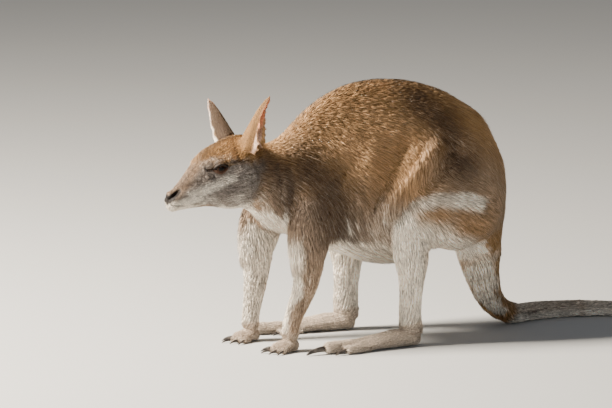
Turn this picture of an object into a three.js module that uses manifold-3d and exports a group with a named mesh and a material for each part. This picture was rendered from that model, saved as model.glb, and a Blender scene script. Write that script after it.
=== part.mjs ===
// An agile wallaby standing on all fours, life size, head low and back hunched.
// Millimetres, +Z up, the nose towards -X, the animal's left side towards -Y.
// Every outline is taken to the tips of the coat.
import * as THREE from "three";
import { mergeVertices } from "three/addons/utils/BufferGeometryUtils.js";
import Module from "manifold-3d";

const wasm = await Module();
wasm.setup();

// ---- driving sizes ----
const GAP = 0.3; // left between neighbouring pieces
const FLAT = 1; // how much of a rounded sole is pressed flat on the floor
const BACK_HEIGHT = 371; // floor to the top of the hunched back
const BELLY_HEIGHT = 105; // floor to the underside of the belly
const HIP_HALF_WIDTH = 94;
const HIND_TRACK = 75; // sideways, from the middle line to each hind foot
const FORE_TRACK = 48; // sideways, from the middle line to each forepaw
const KNEE_HEIGHT = 177;
const FOOT_TURN = 5; // degrees that each hind foot is turned out
const HEAD_TURN = 9; // degrees that the head is turned to the animal's left
const EAR_WALL = 4;
const EYE_RADIUS = 10.5;
const EYE_SPREAD = 20; // from the head's middle plane to each eye's centre
const TAIL_RADIUS = 14; // halfway along the stretch that lies on the floor

const SIDEWAYS = new THREE.Vector3(0, 1, 0);
const LEFT = -1;
const RIGHT = 1;
const SIDES = [["left", LEFT], ["right", RIGHT]];
// Where each leg stands along the body, how far each forearm leans, and how wide each shank is.
const STANCE = {
  left: { hindStep: 0, shankGirth: 1, foreStep: 0, lean: 26 },
  right: { hindStep: -31, shankGirth: 1.15, foreStep: -34, lean: 10 },
};
const radians = THREE.MathUtils.degToRad;

// ---- colours of the coat and the bare parts ----
const COAT = { fawn: 0xa98158, grey_brown: 0x8d7359, pale: 0xd8ccb8, ginger: 0xb07f4e };
const BARE = { nose: 0x2a2422, claw: 0x2e2a28, eye: 0x1a100a };

const wallaby = new THREE.Group();

// ---- making and cutting solids ----
function toSolid(geometry) {
  geometry.deleteAttribute("normal");
  geometry.deleteAttribute("uv");
  const closed = mergeVertices(geometry, 1e-4);
  return new wasm.Manifold(new wasm.Mesh({
    numProp: 3,
    vertProperties: closed.attributes.position.array,
    triVerts: new Uint32Array(closed.index.array),
  }));
}

function toGeometry(solid) {
  const mesh = solid.getMesh();
  const geometry = new THREE.BufferGeometry();
  geometry.setAttribute("position", new THREE.BufferAttribute(mesh.vertProperties, 3));
  geometry.setIndex(new THREE.BufferAttribute(mesh.triVerts, 1));
  geometry.computeVertexNormals();
  return geometry;
}

// The biggest of the separate lumps that a cut may leave.
function biggest(solid) {
  return solid.decompose().reduce((most, lump) => (lump.volume() > most.volume() ? lump : most));
}

// Splits a solid at a plane, and leaves the gap: the first piece is behind the plane, the second beyond it.
function split(solid, point, facing) {
  const normal = new THREE.Vector3(...facing).normalize();
  const offset = normal.dot(new THREE.Vector3(...point));
  const back = normal.clone().negate();
  return [
    solid.trimByPlane(back.toArray(), -offset + GAP / 2),
    solid.trimByPlane(normal.toArray(), offset + GAP / 2),
  ];
}

function pressedOnFloor(solid) {
  return solid.trimByPlane([0, 0, 1], 0);
}

function joined(solids) {
  return solids.reduce((all, one) => all.add(one));
}

function without(solid, others) {
  return biggest(others.reduce((rest, other) => rest.subtract(other), solid));
}

function place(name, solid, color, roughness = 0.95) {
  const material = new THREE.MeshStandardMaterial({ color, roughness, metalness: 0 });
  const mesh = new THREE.Mesh(toGeometry(solid), material);
  mesh.name = name;
  wallaby.add(mesh);
}

// ---- lofts ----
// A rounded body along a smooth curve through its stations, each of them
// [x, y, z, half width, half depth, pear]: pear makes the ring narrower on its deep side.
// The width lies along `across`, `round` is how far the ends bulge, in half widths, and `caps`
// is how many rings round off each end.
function loft(stations, { sides, rings, caps = 2, across = SIDEWAYS, round = 0.8, grow = 0 }) {
  const route = new THREE.CatmullRomCurve3(stations.map(([x, y, z]) => new THREE.Vector3(x, y, z)));
  const sizes = new THREE.CatmullRomCurve3(
    stations.map(([, , , wide, deep, pear = 0]) => new THREE.Vector3(wide, deep, pear * 100)),
  );
  const blend = 0.7 / (stations.length - 1); // the rings turn slowly, so that none crosses the next
  const rows = rings + 2 * caps;
  const geometry = new THREE.SphereGeometry(1, sides, rows);
  const position = geometry.attributes.position;
  const centre = new THREE.Vector3();
  const point = new THREE.Vector3();
  for (let row = 0, i = 0; row <= rows; row++) {
    const t = THREE.MathUtils.clamp((row - caps) / rings, 0, 1);
    const past = Math.max(caps - row, row - caps - rings, 0) / caps;
    const [before, after] = [Math.max(t - blend, 0), Math.min(t + blend, 1)];
    const tangent = route.getPoint(after).sub(route.getPoint(before)).normalize();
    const wideWay = across.clone().addScaledVector(tangent, -across.dot(tangent)).normalize();
    const deepWay = tangent.clone().cross(wideWay);
    const [wide, deep, pear] = sizes.getPoint(t).toArray();
    const shrink = Math.cos((past * Math.PI) / 2);
    const bulge = Math.sin((past * Math.PI) / 2) * round * Math.min(wide, deep) * (t < 0.5 ? -1 : 1);
    route.getPoint(t, centre).addScaledVector(tangent, bulge);
    for (let side = 0; side <= sides; side++, i++) {
      const angle = (side % sides / sides) * 2 * Math.PI;
      const up = Math.sin(angle);
      const reach = (1 - (pear / 100) * up) * -Math.cos(angle) * (wide + grow) * shrink;
      point.copy(centre)
        .addScaledVector(wideWay, reach)
        .addScaledVector(deepWay, up * (deep + grow) * shrink);
      if (row === 0 || row === rows) point.copy(centre);
      position.setXYZ(i, point.x, point.y, point.z);
    }
  }
  return toSolid(geometry);
}

// The same loft twice: as it is, and grown by the gap, to cut its neighbours with.
function loftPair(stations, options) {
  return { solid: loft(stations, options), cutter: loft(stations, { ...options, grow: GAP }) };
}

// ---- torso: neck, shoulders, belly and rump, down to the root of the tail ----
const mid = (BACK_HEIGHT + BELLY_HEIGHT) / 2;
const half = (BACK_HEIGHT - BELLY_HEIGHT) / 2;
const TORSO = [
  [-226, -4, mid + 15, 33, 42],
  [-200, -1, mid + 3, 42, 51],
  [-170, 0, mid - 5, 52, 66, 0.08],
  [-135, 0, mid - 6, 61, half - 44, 0.15],
  [-94, 0, mid - 2, 72, half - 21, 0.15],
  [-50, 0, mid + 2, 82, half - 4, 0.12],
  [-5, 0, mid, 90, half, 0.12],
  [40, 0, mid - 3, HIP_HALF_WIDTH, half - 5, 0.1],
  [84, 0, mid - 12, 90, half - 26, 0.05],
  [114, 0, mid - 45, 78, 73],
  [133, 0, 151, 52, 48],
  [142, 0, 118, 36, 34],
  [146, 0, 92, 30, 28],
];
const TORSO_SIDES = 16;
const torso = loft(TORSO, { sides: TORSO_SIDES, rings: 18 });

// ---- tail: down from the rump, then laid back along the floor in a bend to the left ----
const onFloor = (radius) => radius - FLAT;
const TAIL = [
  [144, 0, 108, 32, 31],
  [146, 0, 92, 30, 28],
  [153, 2, 68, 24, 24],
  [163, 6, 46, 20, 20],
  [182, 13, 27, 17.5, 17.5],
  [210, 23, onFloor(15.5), 15.5, 15.5],
  [250, 35, onFloor(TAIL_RADIUS), TAIL_RADIUS, TAIL_RADIUS],
  [305, 38, onFloor(13), 13, 13],
  [360, 20, onFloor(12), 12, 12],
  [420, -20, onFloor(11), 11, 11],
  [475, -75, onFloor(9.5), 9.5, 9.5],
  [515, -135, onFloor(8), 8, 8],
  [545, -195, onFloor(6.5), 6.5, 6.5],
  [560, -228, onFloor(4.5), 4.5, 4.5],
];
const tail = pressedOnFloor(loft(TAIL, { sides: 10, rings: 20, round: 1.5 }));

// ---- hind legs ----
function hindLegStations(side, step, girth) {
  const track = side * HIND_TRACK;
  const thigh = [
    [112 + step / 4, side * 50, 224, 44, 84],
    [50 + step / 2, side * 62, 202, 44, 82],
    [12 + step, side * 71, KNEE_HEIGHT + 7, 35, 54],
    [-6 + step, side * 75, KNEE_HEIGHT - 1, 27, 28],
  ];
  const shank = [
    [-3 + step, track, KNEE_HEIGHT + 3, 26, 27],
    [0 + step, track, 150, 25, 29],
    [3 + step, track, 120, 21, 25 * girth],
    [3 + step, track, 95, 17, 19 * girth],
    [1 + step, track, 60, 14.5, 16 * girth],
    [1 + step, track, 36, 14.5, 16.5 * girth],
    [3 + step, track, 18, 14.5, 16.5],
  ];
  return { thigh, shank };
}

// The long foot lies flat. Its axis runs forward from the heel, turned out a little.
function footPoint(side, step, forward, outward, height) {
  const turn = radians(FOOT_TURN);
  const heelX = 16 + step;
  return [
    heelX - forward * Math.cos(turn) + outward * Math.sin(turn),
    side * (HIND_TRACK + forward * Math.sin(turn) + outward * Math.cos(turn)),
    height,
  ];
}

const HIND_TOES = [
  { name: "long", from: [95, 0], to: [150, 0], radius: 9.5, claw: 27, clawRadius: 4.6 },
  { name: "outer", from: [88, 11], to: [126, 17], radius: 7, claw: 17, clawRadius: 3.2 },
  { name: "twin_outer", from: [88, -10], to: [120, -12.5], radius: 4.4, claw: 10, clawRadius: 1.7 },
  { name: "twin_inner", from: [86, -14], to: [119, -18.5], radius: 4.4, claw: 10, clawRadius: 1.7 },
];

function hindFoot(side, step, grow = 0) {
  const at = (forward, outward, radius) => footPoint(side, step, forward, outward, onFloor(radius));
  const sole = [
    [...at(12, 0, 14), 14.5, 14],
    [...at(38, 0, 14), 15, 14],
    [...at(66, 0, 11.5), 16, 11.5],
    [...at(92, 0, 10), 18, 10],
    [...at(104, 0, 9), 16, 9],
  ];
  const toes = HIND_TOES.map(({ from, to, radius }) => loft([
    [...at(...from, radius), radius, radius],
    [...at((from[0] + to[0]) / 2, (from[1] + to[1]) / 2, radius), radius, radius],
    [...at(...to, radius), radius * 0.9, radius],
  ], { sides: 7, rings: 2, caps: 1, grow }));
  return joined([loft(sole, { sides: 8, rings: 3, grow }), ...toes]);
}

// A claw starts inside its toe, and curves forward and down to a point on the floor.
function claw(start, heading, length, radius) {
  const [x, y, z] = start;
  const along = (share) => [x + heading[0] * length * share, y + heading[1] * length * share];
  return loft([
    [...along(-0.25), z, radius * 0.9, radius],
    [...along(0.3), z * 0.95, radius * 0.85, radius],
    [...along(0.7), Math.max(z * 0.65, radius * 0.7), radius * 0.55, radius * 0.7],
    [...along(1), Math.max(z * 0.2, radius * 0.35), radius * 0.2, radius * 0.3],
  ], { sides: 5, rings: 3, caps: 1, round: 0.5 });
}

function hindClaws(side, step) {
  return HIND_TOES.map(({ name, from, to, radius, claw: length, clawRadius }) => {
    const forward = to[0] + radius * 0.6;
    const slant = (to[1] - from[1]) / (to[0] - from[0]);
    const base = footPoint(side, step, forward, to[1], radius * 0.85);
    const ahead = footPoint(side, step, forward + 1, to[1] + slant, 0);
    return [name, claw(base, [ahead[0] - base[0], ahead[1] - base[1]], length, clawRadius)];
  });
}

// ---- forelegs ----
// The forearm leans forward by `lean` from the elbow to the wrist.
function forelegStations(side, step, lean) {
  const track = side * FORE_TRACK;
  return [
    [-128 + step * 0.5, track * 0.76, 232, 20, 30],
    [-138 + step * 0.7, track * 0.94, 196, 23, 35],
    [-142 + step * 0.9, track * 1.03, 164, 23, 33],
    [-146 + step, track * 1.05, 130, 19.5, 26.5],
    [-146 + step, track * 1.03, 104, 16.5, 20],
    [-146 - lean * 0.17 + step, track * 1.02, 85, 14.5, 17],
    [-146 - lean * 0.5 + step, track, 64, 12.5, 14.5],
    [-146 - lean * 0.85 + step, track, 42, 11.5, 12],
    [-146 - lean + step, track, 22, 13, 12],
  ];
}

const FINGERS = 5;
const FINGER_FAN = 17; // degrees from one finger to the next
const FINGER_RADIUS = 4.6;
const FINGER_CLAW = 13;

function forepaw(side, wristX, grow = 0) {
  const [x, y] = [wristX - 4, side * FORE_TRACK];
  const palm = loft([
    [x + 8, y, onFloor(11), 12, 11],
    [x - 6, y, onFloor(9), 15, 9],
    [x - 15, y, onFloor(7.5), 15, 7.5],
  ], { sides: 8, rings: 2, grow });
  const fingers = fingerRoutes(side, wristX).map(({ root, tip }) => loft([
    [...root, FINGER_RADIUS, FINGER_RADIUS],
    [...tip, FINGER_RADIUS * 0.9, FINGER_RADIUS],
  ], { sides: 6, rings: 2, caps: 1, grow }));
  return joined([palm, ...fingers]);
}

function fingerRoutes(side, wristX) {
  return Array.from({ length: FINGERS }, (_, i) => {
    const spread = i - (FINGERS - 1) / 2;
    const turn = radians(spread * FINGER_FAN);
    const heading = [-Math.cos(turn), side * Math.sin(turn)];
    const [x, y] = [wristX - 12 + Math.abs(spread) * 2.5, side * FORE_TRACK + side * spread * 5.2];
    const reach = 17 - Math.abs(spread) * 2;
    const height = onFloor(FINGER_RADIUS);
    return {
      root: [x, y, height],
      tip: [x + heading[0] * reach, y + heading[1] * reach, height],
      heading,
    };
  });
}

// ---- head ----
const turn = radians(HEAD_TURN);
const NECK_X = -195; // where the head's own middle line leaves the body's
const HEAD_ACROSS = new THREE.Vector3(Math.sin(turn), -Math.cos(turn), 0);
// A point of the head: x along the body, how far to the animal's left, and the height.
function headPoint(x, leftward, z) {
  return [
    x + leftward * Math.sin(turn),
    (x - NECK_X) * Math.tan(turn) - leftward * Math.cos(turn),
    z,
  ];
}
const HEAD = [
  [...headPoint(-212, 0, 254), 33, 47, 0],
  [...headPoint(-230, 0, 253), 36, 52, 0.05],
  [...headPoint(-252, 0, 249), 37, 50, 0.12],
  [...headPoint(-277, 0, 245), 33, 43, 0.15],
  [...headPoint(-302, 0, 235), 23, 30, 0.12],
  [...headPoint(-322, 0, 226), 17.5, 21, 0.08],
  [...headPoint(-340, 0, 219), 14, 14.5, 0],
];
const HEAD_SHAPE = { sides: 16, rings: 10, across: HEAD_ACROSS, round: 0.75 };
const head = loftPair(HEAD, HEAD_SHAPE);

// The bare pad at the tip of the muzzle, above the mouth.
function nosePad(grow = 0) {
  const pad = new THREE.SphereGeometry(1, 8, 6).scale(9 + grow, 11 + grow, 9 + grow);
  return toSolid(pad.translate(...headPoint(-343, 0, 226)));
}

function eyeball(side, grow = 0) {
  const centre = headPoint(-274, -side * EYE_SPREAD, 264);
  return toSolid(new THREE.SphereGeometry(EYE_RADIUS + grow, 10, 6).translate(...centre));
}

// An ear is a thin leaf, rolled into a tube at its root and open towards its face.
function ear({ root, tip, face, halfWidth, taper, deep }) {
  const rows = 10;
  const across = 4;
  const start = new THREE.Vector3(...root);
  const along = new THREE.Vector3(...tip).sub(start);
  const length = along.length();
  along.normalize();
  const front = new THREE.Vector3(...face).addScaledVector(along, -along.dot(new THREE.Vector3(...face)));
  front.normalize();
  const sideWay = along.clone().cross(front);
  const geometry = new THREE.SphereGeometry(1, 2 * across, rows);
  const position = geometry.attributes.position;
  for (let row = 0, i = 0; row <= rows; row++) {
    const share = row / rows;
    const root = Math.min(1, 0.55 + share * 3);
    const wide = halfWidth * root * earProfile((1 - share) * length * taper / halfWidth);
    const halfArc = THREE.MathUtils.lerp(radians(125), radians(50), Math.min(share * 1.4, 1));
    const radius = wide / Math.sin(Math.min(halfArc, Math.PI / 2));
    const wall = Math.min(EAR_WALL, Math.max(wide * 0.8, 1.6));
    for (let step = 0; step <= 2 * across; step++, i++) {
      const turnStep = step % (2 * across);
      const outer = turnStep <= across;
      const way = outer ? turnStep / across : 2 - turnStep / across;
      const angle = (way * 2 - 1) * halfArc;
      const rim = turnStep % across === 0 ? 0.5 : outer ? 0 : 1;
      const reach = radius - wall * rim;
      const point = start.clone()
        .addScaledVector(along, share * length)
        .addScaledVector(sideWay, Math.sin(angle) * reach)
        .addScaledVector(front, (radius * 0.75 - Math.cos(angle) * reach) * deep);
      const pole = row === 0 || row === rows;
      if (pole) point.copy(start).addScaledVector(along, share * length);
      position.setXYZ(i, point.x, point.y, point.z);
    }
  }
  return toSolid(geometry);
}

// Half width of the ear as a share of its greatest: straight edges from a blunt tip down to a round base.
function earProfile(fromTip) {
  return Math.tanh(fromTip * 1.1) * 1.05 + 0.12 * Math.exp(-(((fromTip - 0.25) / 0.2) ** 2));
}

const EARS = {
  left: {
    root: [-236, -22, 286], tip: [-207, -61, 364], face: [0.78, -0.63, 0.1],
    halfWidth: 21, taper: 0.5, deep: 1.45,
  },
  right: {
    root: [-234, 16, 286], tip: [-247, 68, 348], face: [0.05, 1, 0],
    halfWidth: 18, taper: 0.42, deep: 1,
  },
};

// ---- putting the animal together ----
const thighs = {};
const shanks = {};
const forelegs = {};
for (const [name, side] of SIDES) {
  const { hindStep, shankGirth, foreStep, lean } = STANCE[name];
  const { thigh, shank } = hindLegStations(side, hindStep, shankGirth);
  thighs[name] = loftPair(thigh, { sides: 14, rings: 6, round: 0.6 });
  shanks[name] = loftPair(shank, { sides: 10, rings: 8, round: 0.5 });
  forelegs[name] = loftPair(forelegStations(side, foreStep, lean), { sides: 10, rings: 10, round: 0.6 });
}
const limbCutters = SIDES.flatMap(([name]) => [
  thighs[name].cutter, shanks[name].cutter, forelegs[name].cutter,
]);

// Torso and tail, parted across.
const [front, back] = split(torso.add(tail), [-95, 0, 238], [1, 0, 0]);
const [neck, shoulders] = split(front, [-168, 0, 232], [1, 0, -0.25]);
const [belly, hind] = split(back, [48, 0, 235], [1, 0, 0]);
const [rump, tailRoot] = split(hind, [144, 0, 118], [0.3, 0, -0.95]);
place("neck", without(neck, [head.cutter, ...limbCutters]), COAT.grey_brown);
place("shoulders", without(shoulders, limbCutters), COAT.fawn);
place("belly", without(belly, limbCutters), COAT.fawn);
place("rump", without(rump, limbCutters), COAT.fawn);

const TAIL_CUTS = [
  { at: [196, 18, 20], facing: [0.85, 0.35, -0.35] },
  { at: [320, 35, 13], facing: [1, -0.2, 0] },
  { at: [440, -38, 10], facing: [0.72, -0.7, 0] },
];
let tailRest = tailRoot;
TAIL_CUTS.forEach(({ at, facing }, i) => {
  const [length, rest] = split(tailRest, at, facing);
  place(`tail_${i + 1}`, biggest(length), COAT.pale);
  tailRest = rest;
});
place(`tail_${TAIL_CUTS.length + 1}`, biggest(tailRest), COAT.pale);

// Head, with its eyes and ears.
const sockets = SIDES.map(([, side]) => eyeball(side, GAP));
const [cranium, face] = split(
  sockets.reduce((rest, socket) => rest.subtract(socket), head.solid), headPoint(-300, 0, 235), [-1, 0, -0.35],
);
place("head", biggest(cranium), COAT.ginger);
place("muzzle", without(face, [nosePad(GAP)]), COAT.grey_brown);
place("nose", nosePad(), BARE.nose, 0.5);
const neckCutter = loft(TORSO.slice(0, 6), { sides: TORSO_SIDES, rings: 9, grow: GAP });
for (const [name, side] of SIDES) {
  place(`eye_${name}`, eyeball(side), BARE.eye, 0.1);
  place(`ear_${name}`, without(ear(EARS[name]), [head.cutter, neckCutter]), COAT.fawn);
}

// Legs, parted at the knee, ankle, elbow and wrist.
const ANKLE_HEIGHT = 34;
const WRIST_HEIGHT = 30;
for (const [name, side] of SIDES) {
  const { hindStep, foreStep, lean } = STANCE[name];
  const hindLeg = pressedOnFloor(shanks[name].solid.add(hindFoot(side, hindStep)));
  const [foot, shank] = split(hindLeg, [0, 0, ANKLE_HEIGHT], [0, 0, 1]);
  place(`thigh_${name}`, thighs[name].solid, COAT.fawn);
  place(`shank_${name}`, without(shank, [thighs[name].cutter]), COAT.pale);
  place(`hind_foot_${name}`, biggest(foot), COAT.pale);
  const footCutter = hindFoot(side, hindStep, GAP);
  for (const [toe, solid] of hindClaws(side, hindStep)) {
    place(`hind_claw_${toe}_${name}`, without(pressedOnFloor(solid), [footCutter]), BARE.claw, 0.4);
  }

  const wristX = -146 - lean + foreStep;
  const foreleg = pressedOnFloor(forelegs[name].solid.add(forepaw(side, wristX)));
  const [lower, upperArm] = split(foreleg, [0, 0, 122], [0, 0, 1]);
  const [paw, forearm] = split(lower, [0, 0, WRIST_HEIGHT], [0, 0, 1]);
  place(`upper_arm_${name}`, biggest(upperArm), COAT.fawn);
  place(`forearm_${name}`, biggest(forearm), COAT.pale);
  place(`forepaw_${name}`, biggest(paw), COAT.pale);
  const pawCutter = forepaw(side, wristX, GAP);
  fingerRoutes(side, wristX).forEach(({ tip, heading }, i) => {
    const base = [tip[0] + heading[0] * 2.5, tip[1] + heading[1] * 2.5, FINGER_RADIUS * 0.9];
    const solid = pressedOnFloor(claw(base, heading, FINGER_CLAW, 2.1));
    place(`forepaw_claw_${i + 1}_${name}`, without(solid, [pawCutter]), BARE.claw, 0.4);
  });
}

// The origin is under the middle of the whole animal's box.
const box = new THREE.Box3().setFromObject(wallaby);
wallaby.children.forEach(({ geometry }) => {
  geometry.translate(-(box.min.x + box.max.x) / 2, -(box.min.y + box.max.y) / 2, -box.min.z);
});

export default wallaby;
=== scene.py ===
"""A life-size wallaby as a still model: one skin, a coat of mesh tufts, eyes, claws and a studio."""

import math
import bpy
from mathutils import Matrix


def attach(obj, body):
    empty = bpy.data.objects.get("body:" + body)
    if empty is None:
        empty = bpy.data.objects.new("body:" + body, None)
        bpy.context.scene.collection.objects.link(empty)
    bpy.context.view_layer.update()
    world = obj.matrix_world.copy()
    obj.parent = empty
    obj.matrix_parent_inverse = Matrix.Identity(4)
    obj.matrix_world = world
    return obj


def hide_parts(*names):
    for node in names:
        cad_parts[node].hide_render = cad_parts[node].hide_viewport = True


bl_info = {
    "name": "Wallaby model",
    "version": (1, 0, 0),
    "blender": (4, 5, 0),
    "location": "View3D > Sidebar > Wallaby",
    "description": "Builds the skin, coat, eyes and claws of a life-size wallaby on its CAD frame",
    "category": "Object",
}

from collections import namedtuple

import bmesh
import bpy
import numpy as np
from bpy.props import FloatProperty, FloatVectorProperty, IntProperty, PointerProperty
from mathutils import Vector
from mathutils.bvhtree import BVHTree
from mathutils.kdtree import KDTree

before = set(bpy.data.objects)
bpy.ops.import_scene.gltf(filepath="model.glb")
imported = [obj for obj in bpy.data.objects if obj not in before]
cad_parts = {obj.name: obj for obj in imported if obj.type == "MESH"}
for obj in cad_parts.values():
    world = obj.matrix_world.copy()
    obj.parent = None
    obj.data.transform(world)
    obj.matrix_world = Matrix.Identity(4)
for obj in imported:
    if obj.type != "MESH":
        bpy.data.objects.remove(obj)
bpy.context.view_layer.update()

MM = 0.001
# Places on the body are given in millimetres from a point on the floor under the left heel, with
# x towards the tail, y to the animal's right of its middle plane, and z up.
BODY_ORIGIN = np.array([-106.52, 62.86, 0.0])
SIDES = {"left": -1.0, "right": 1.0}

# ---- head frame: x along the head, l to the animal's left, z up, all in millimetres ----
HEAD_TURN = math.radians(9)
HEAD_PIVOT_X = -195.0
HEAD_AXES = np.array([
    [1.0, math.sin(HEAD_TURN), 0.0],
    [math.tan(HEAD_TURN), -math.cos(HEAD_TURN), 0.0],
    [0.0, 0.0, 1.0],
])
HEAD_SHIFT = np.array([0.0, -HEAD_PIVOT_X * math.tan(HEAD_TURN), 0.0])
EYE_CENTRE = (-274.0, 20.0, 264.0)
EYE_RADIUS = 10.4


def from_head(points):
    """Body places of head places."""
    return np.asarray(points, dtype=float) @ HEAD_AXES.T + HEAD_SHIFT


def to_head(points):
    """Head places of body places."""
    return (np.asarray(points, dtype=float) - HEAD_SHIFT) @ np.linalg.inv(HEAD_AXES).T


# ---- the coat's zones, each named after the CAD nodes that it covers ----
# Depth of the coat, then the length, width and spacing of its tufts, in millimetres, and how many
# rounds of smoothing melt the joints between the solids under it.
Zone = namedtuple("Zone", "depth length width spacing rounds")


ZONES = {
    "neck": Zone(3.0, 15.0, 0.85, 1.6, 150),
    "shoulders": Zone(3.4, 19.0, 0.70, 1.7, 240),
    "belly": Zone(3.5, 21.0, 0.70, 1.75, 240),
    "rump": Zone(3.5, 21.0, 0.70, 1.75, 240),
    "tail_1": Zone(3.5, 12.0, 1.0, 1.7, 60),
    "tail_2": Zone(2.2, 9.0, 0.85, 1.6, 16),
    "tail_3": Zone(2.0, 8.0, 0.8, 1.6, 16),
    "tail_4": Zone(1.7, 7.0, 0.75, 1.6, 10),
    "head": Zone(1.7, 5.6, 0.62, 1.10, 16),
    "muzzle": Zone(0.9, 3.4, 0.42, 0.8, 8),
    "nose": Zone(0.2, 2.0, 0.4, 0.8, 4),
    "ear": Zone(0.5, 3.0, 0.4, 0.9, 24),
    "thigh": Zone(3.4, 17.0, 0.82, 1.7, 150),
    "shank": Zone(2.2, 9.0, 0.8, 1.45, 24),
    "hind_foot": Zone(1.2, 4.8, 0.6, 1.4, 16),
    "upper_arm": Zone(3.0, 13.0, 0.9, 1.65, 70),
    "forearm": Zone(2.2, 8.5, 0.8, 1.45, 20),
    "forepaw": Zone(0.9, 4.0, 0.55, 1.25, 14),
}
ZONE_NAMES = list(ZONES)
TORSO = ("neck", "shoulders", "belly", "rump")
MARKS = ("pale", "dark", "ginger", "grey", "pink", "bare")


def zone_of(node):
    """The zone that a CAD node belongs to, or None for an eye or a claw."""
    name = node.removesuffix("_left").removesuffix("_right")
    return name if name in ZONES else None


FLESH = [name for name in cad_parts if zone_of(name)]


# ---- array tools ----
def smooth_step(low, high, value):
    """0 below low, 1 above high, with a soft rise between them."""
    share = np.clip((value - low) / (high - low), 0.0, 1.0)
    return share * share * (3.0 - 2.0 * share)


def unit(vectors):
    """The vectors at length one."""
    return vectors / np.maximum(np.linalg.norm(vectors, axis=-1, keepdims=True), 1e-12)


def path_distance(points, path):
    """Distance of each point from a path of straight legs."""
    path = np.asarray(path, dtype=float)
    best = np.full(len(points), 1e9)
    for start, end in zip(path[:-1], path[1:]):
        leg = end - start
        share = np.clip((points - start) @ leg / max(leg @ leg, 1e-9), 0.0, 1.0)
        gap = points - start - share[:, None] * leg
        best = np.minimum(best, np.einsum("ij,ij->i", gap, gap))
    return np.sqrt(best)


def both_sides(path):
    """A path of the left side and its mirror image on the right side."""
    path = np.asarray(path, dtype=float)
    return [path, path * np.array([1.0, -1.0, 1.0])]


def waves(points, size, seed, count=14):
    """A smooth random field of about unit strength, whose patches are about size across."""
    rng = np.random.default_rng(seed)
    total = np.zeros(len(points))
    for _ in range(count):
        way = rng.normal(size=3)
        way *= rng.uniform(0.6, 1.5) * math.pi / (size * np.linalg.norm(way))
        total += np.sin(points @ way + rng.uniform(0, 2 * math.pi))
    return total / math.sqrt(count / 2)


def streaks(points, lie, size, seed):
    """A smooth random field of unit strength, drawn out along the lie of the coat."""
    total = sum(waves(points + lie * step, size, seed, 40) for step in np.linspace(-13, 13, 19) * size)
    return total / max(total.std(), 1e-9)


class Net:
    """The edges of a mesh, for averaging values over neighbouring points."""

    def __init__(self, mesh):
        ends = np.empty(len(mesh.edges) * 2, dtype=np.int32)
        mesh.edges.foreach_get("vertices", ends)
        self.start, self.end = ends[0::2], ends[1::2]
        self.count = len(mesh.vertices)
        self.degree = np.maximum(self.gather(np.ones(self.count)), 1.0)

    def gather(self, values):
        """Sum of the neighbours' values."""
        return (np.bincount(self.start, values[self.end], self.count)
                + np.bincount(self.end, values[self.start], self.count))

    def mean(self, values):
        """Mean of the neighbours' values, for one number or several numbers a point."""
        if values.ndim == 1:
            return self.gather(values) / self.degree
        return np.stack([self.gather(column) for column in values.T], axis=1) / self.degree[:, None]

    def spread(self, values, rounds, rate=0.8):
        """The values after some rounds of averaging; rate may differ from point to point."""
        rate = rate if np.isscalar(rate) or values.ndim == 1 else rate[:, None]
        for _ in range(rounds):
            values = values + rate * (self.mean(values) - values)
        return values


def mesh_points(mesh):
    """A mesh's points as body places in millimetres."""
    flat = np.empty(len(mesh.vertices) * 3)
    mesh.vertices.foreach_get("co", flat)
    return flat.reshape(-1, 3) / MM - BODY_ORIGIN


def set_points(mesh, points):
    """Writes body places in millimetres back to a mesh."""
    mesh.vertices.foreach_set("co", ((points + BODY_ORIGIN) * MM).ravel())
    mesh.update()


def mesh_normals(mesh):
    """A mesh's point normals."""
    flat = np.empty(len(mesh.vertices) * 3)
    mesh.vertex_normals.foreach_get("vector", flat)
    return flat.reshape(-1, 3)


def store(mesh, name, values):
    """Keeps one number a point as a mesh attribute."""
    layer = mesh.attributes.get(name) or mesh.attributes.new(name, "FLOAT", "POINT")
    layer.data.foreach_set("value", np.ascontiguousarray(values, dtype=np.float32))


def stored(mesh, name):
    """Reads an attribute of one number a point."""
    values = np.empty(len(mesh.vertices), dtype=np.float32)
    mesh.attributes[name].data.foreach_get("value", values)
    return values.astype(float)


def deselect():
    """Leaves nothing selected."""
    if bpy.context.object and bpy.context.object.mode != "OBJECT":
        bpy.ops.object.mode_set(mode="OBJECT")
    bpy.ops.object.select_all(action="DESELECT")


def activate(piece):
    """Makes a piece the only selected and the active object."""
    deselect()
    piece.select_set(True)
    bpy.context.view_layer.objects.active = piece


def select_points(mesh, chosen):
    """Selects points of a mesh by a mask, with nothing else selected."""
    mesh.polygons.foreach_set("select", np.zeros(len(mesh.polygons), dtype=bool))
    mesh.edges.foreach_set("select", np.zeros(len(mesh.edges), dtype=bool))
    mesh.vertices.foreach_set("select", chosen)


def edit_points(piece, chosen, action, **settings):
    """Runs one mesh operator on the chosen points of a piece."""
    activate(piece)
    bpy.ops.object.mode_set(mode="EDIT")
    bpy.ops.mesh.select_mode(type="VERT")
    bpy.ops.mesh.select_all(action="DESELECT")
    bpy.ops.object.mode_set(mode="OBJECT")
    select_points(piece.data, chosen)
    bpy.ops.object.mode_set(mode="EDIT")
    action(**settings)
    bpy.ops.object.mode_set(mode="OBJECT")


def merged_copy(names, grow=0.0, grow_ears=0.0):
    """Points in metres and triangles of CAD nodes, doubles merged and each node grown a little."""
    all_points, all_faces, owners, start = [], [], [], 0
    for number, name in enumerate(names):
        shape = bmesh.new()
        shape.from_mesh(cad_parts[name].data)
        bmesh.ops.remove_doubles(shape, verts=shape.verts, dist=1e-6)
        bmesh.ops.triangulate(shape, faces=shape.faces)
        shape.normal_update()
        swell = grow_ears if name.startswith("ear") else grow
        all_points += [v.co + v.normal * swell for v in shape.verts]
        all_faces += [[v.index + start for v in face.verts] for face in shape.faces]
        owners += [number] * len(shape.faces)
        start += len(shape.verts)
        shape.free()
    return all_points, all_faces, owners


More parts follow.
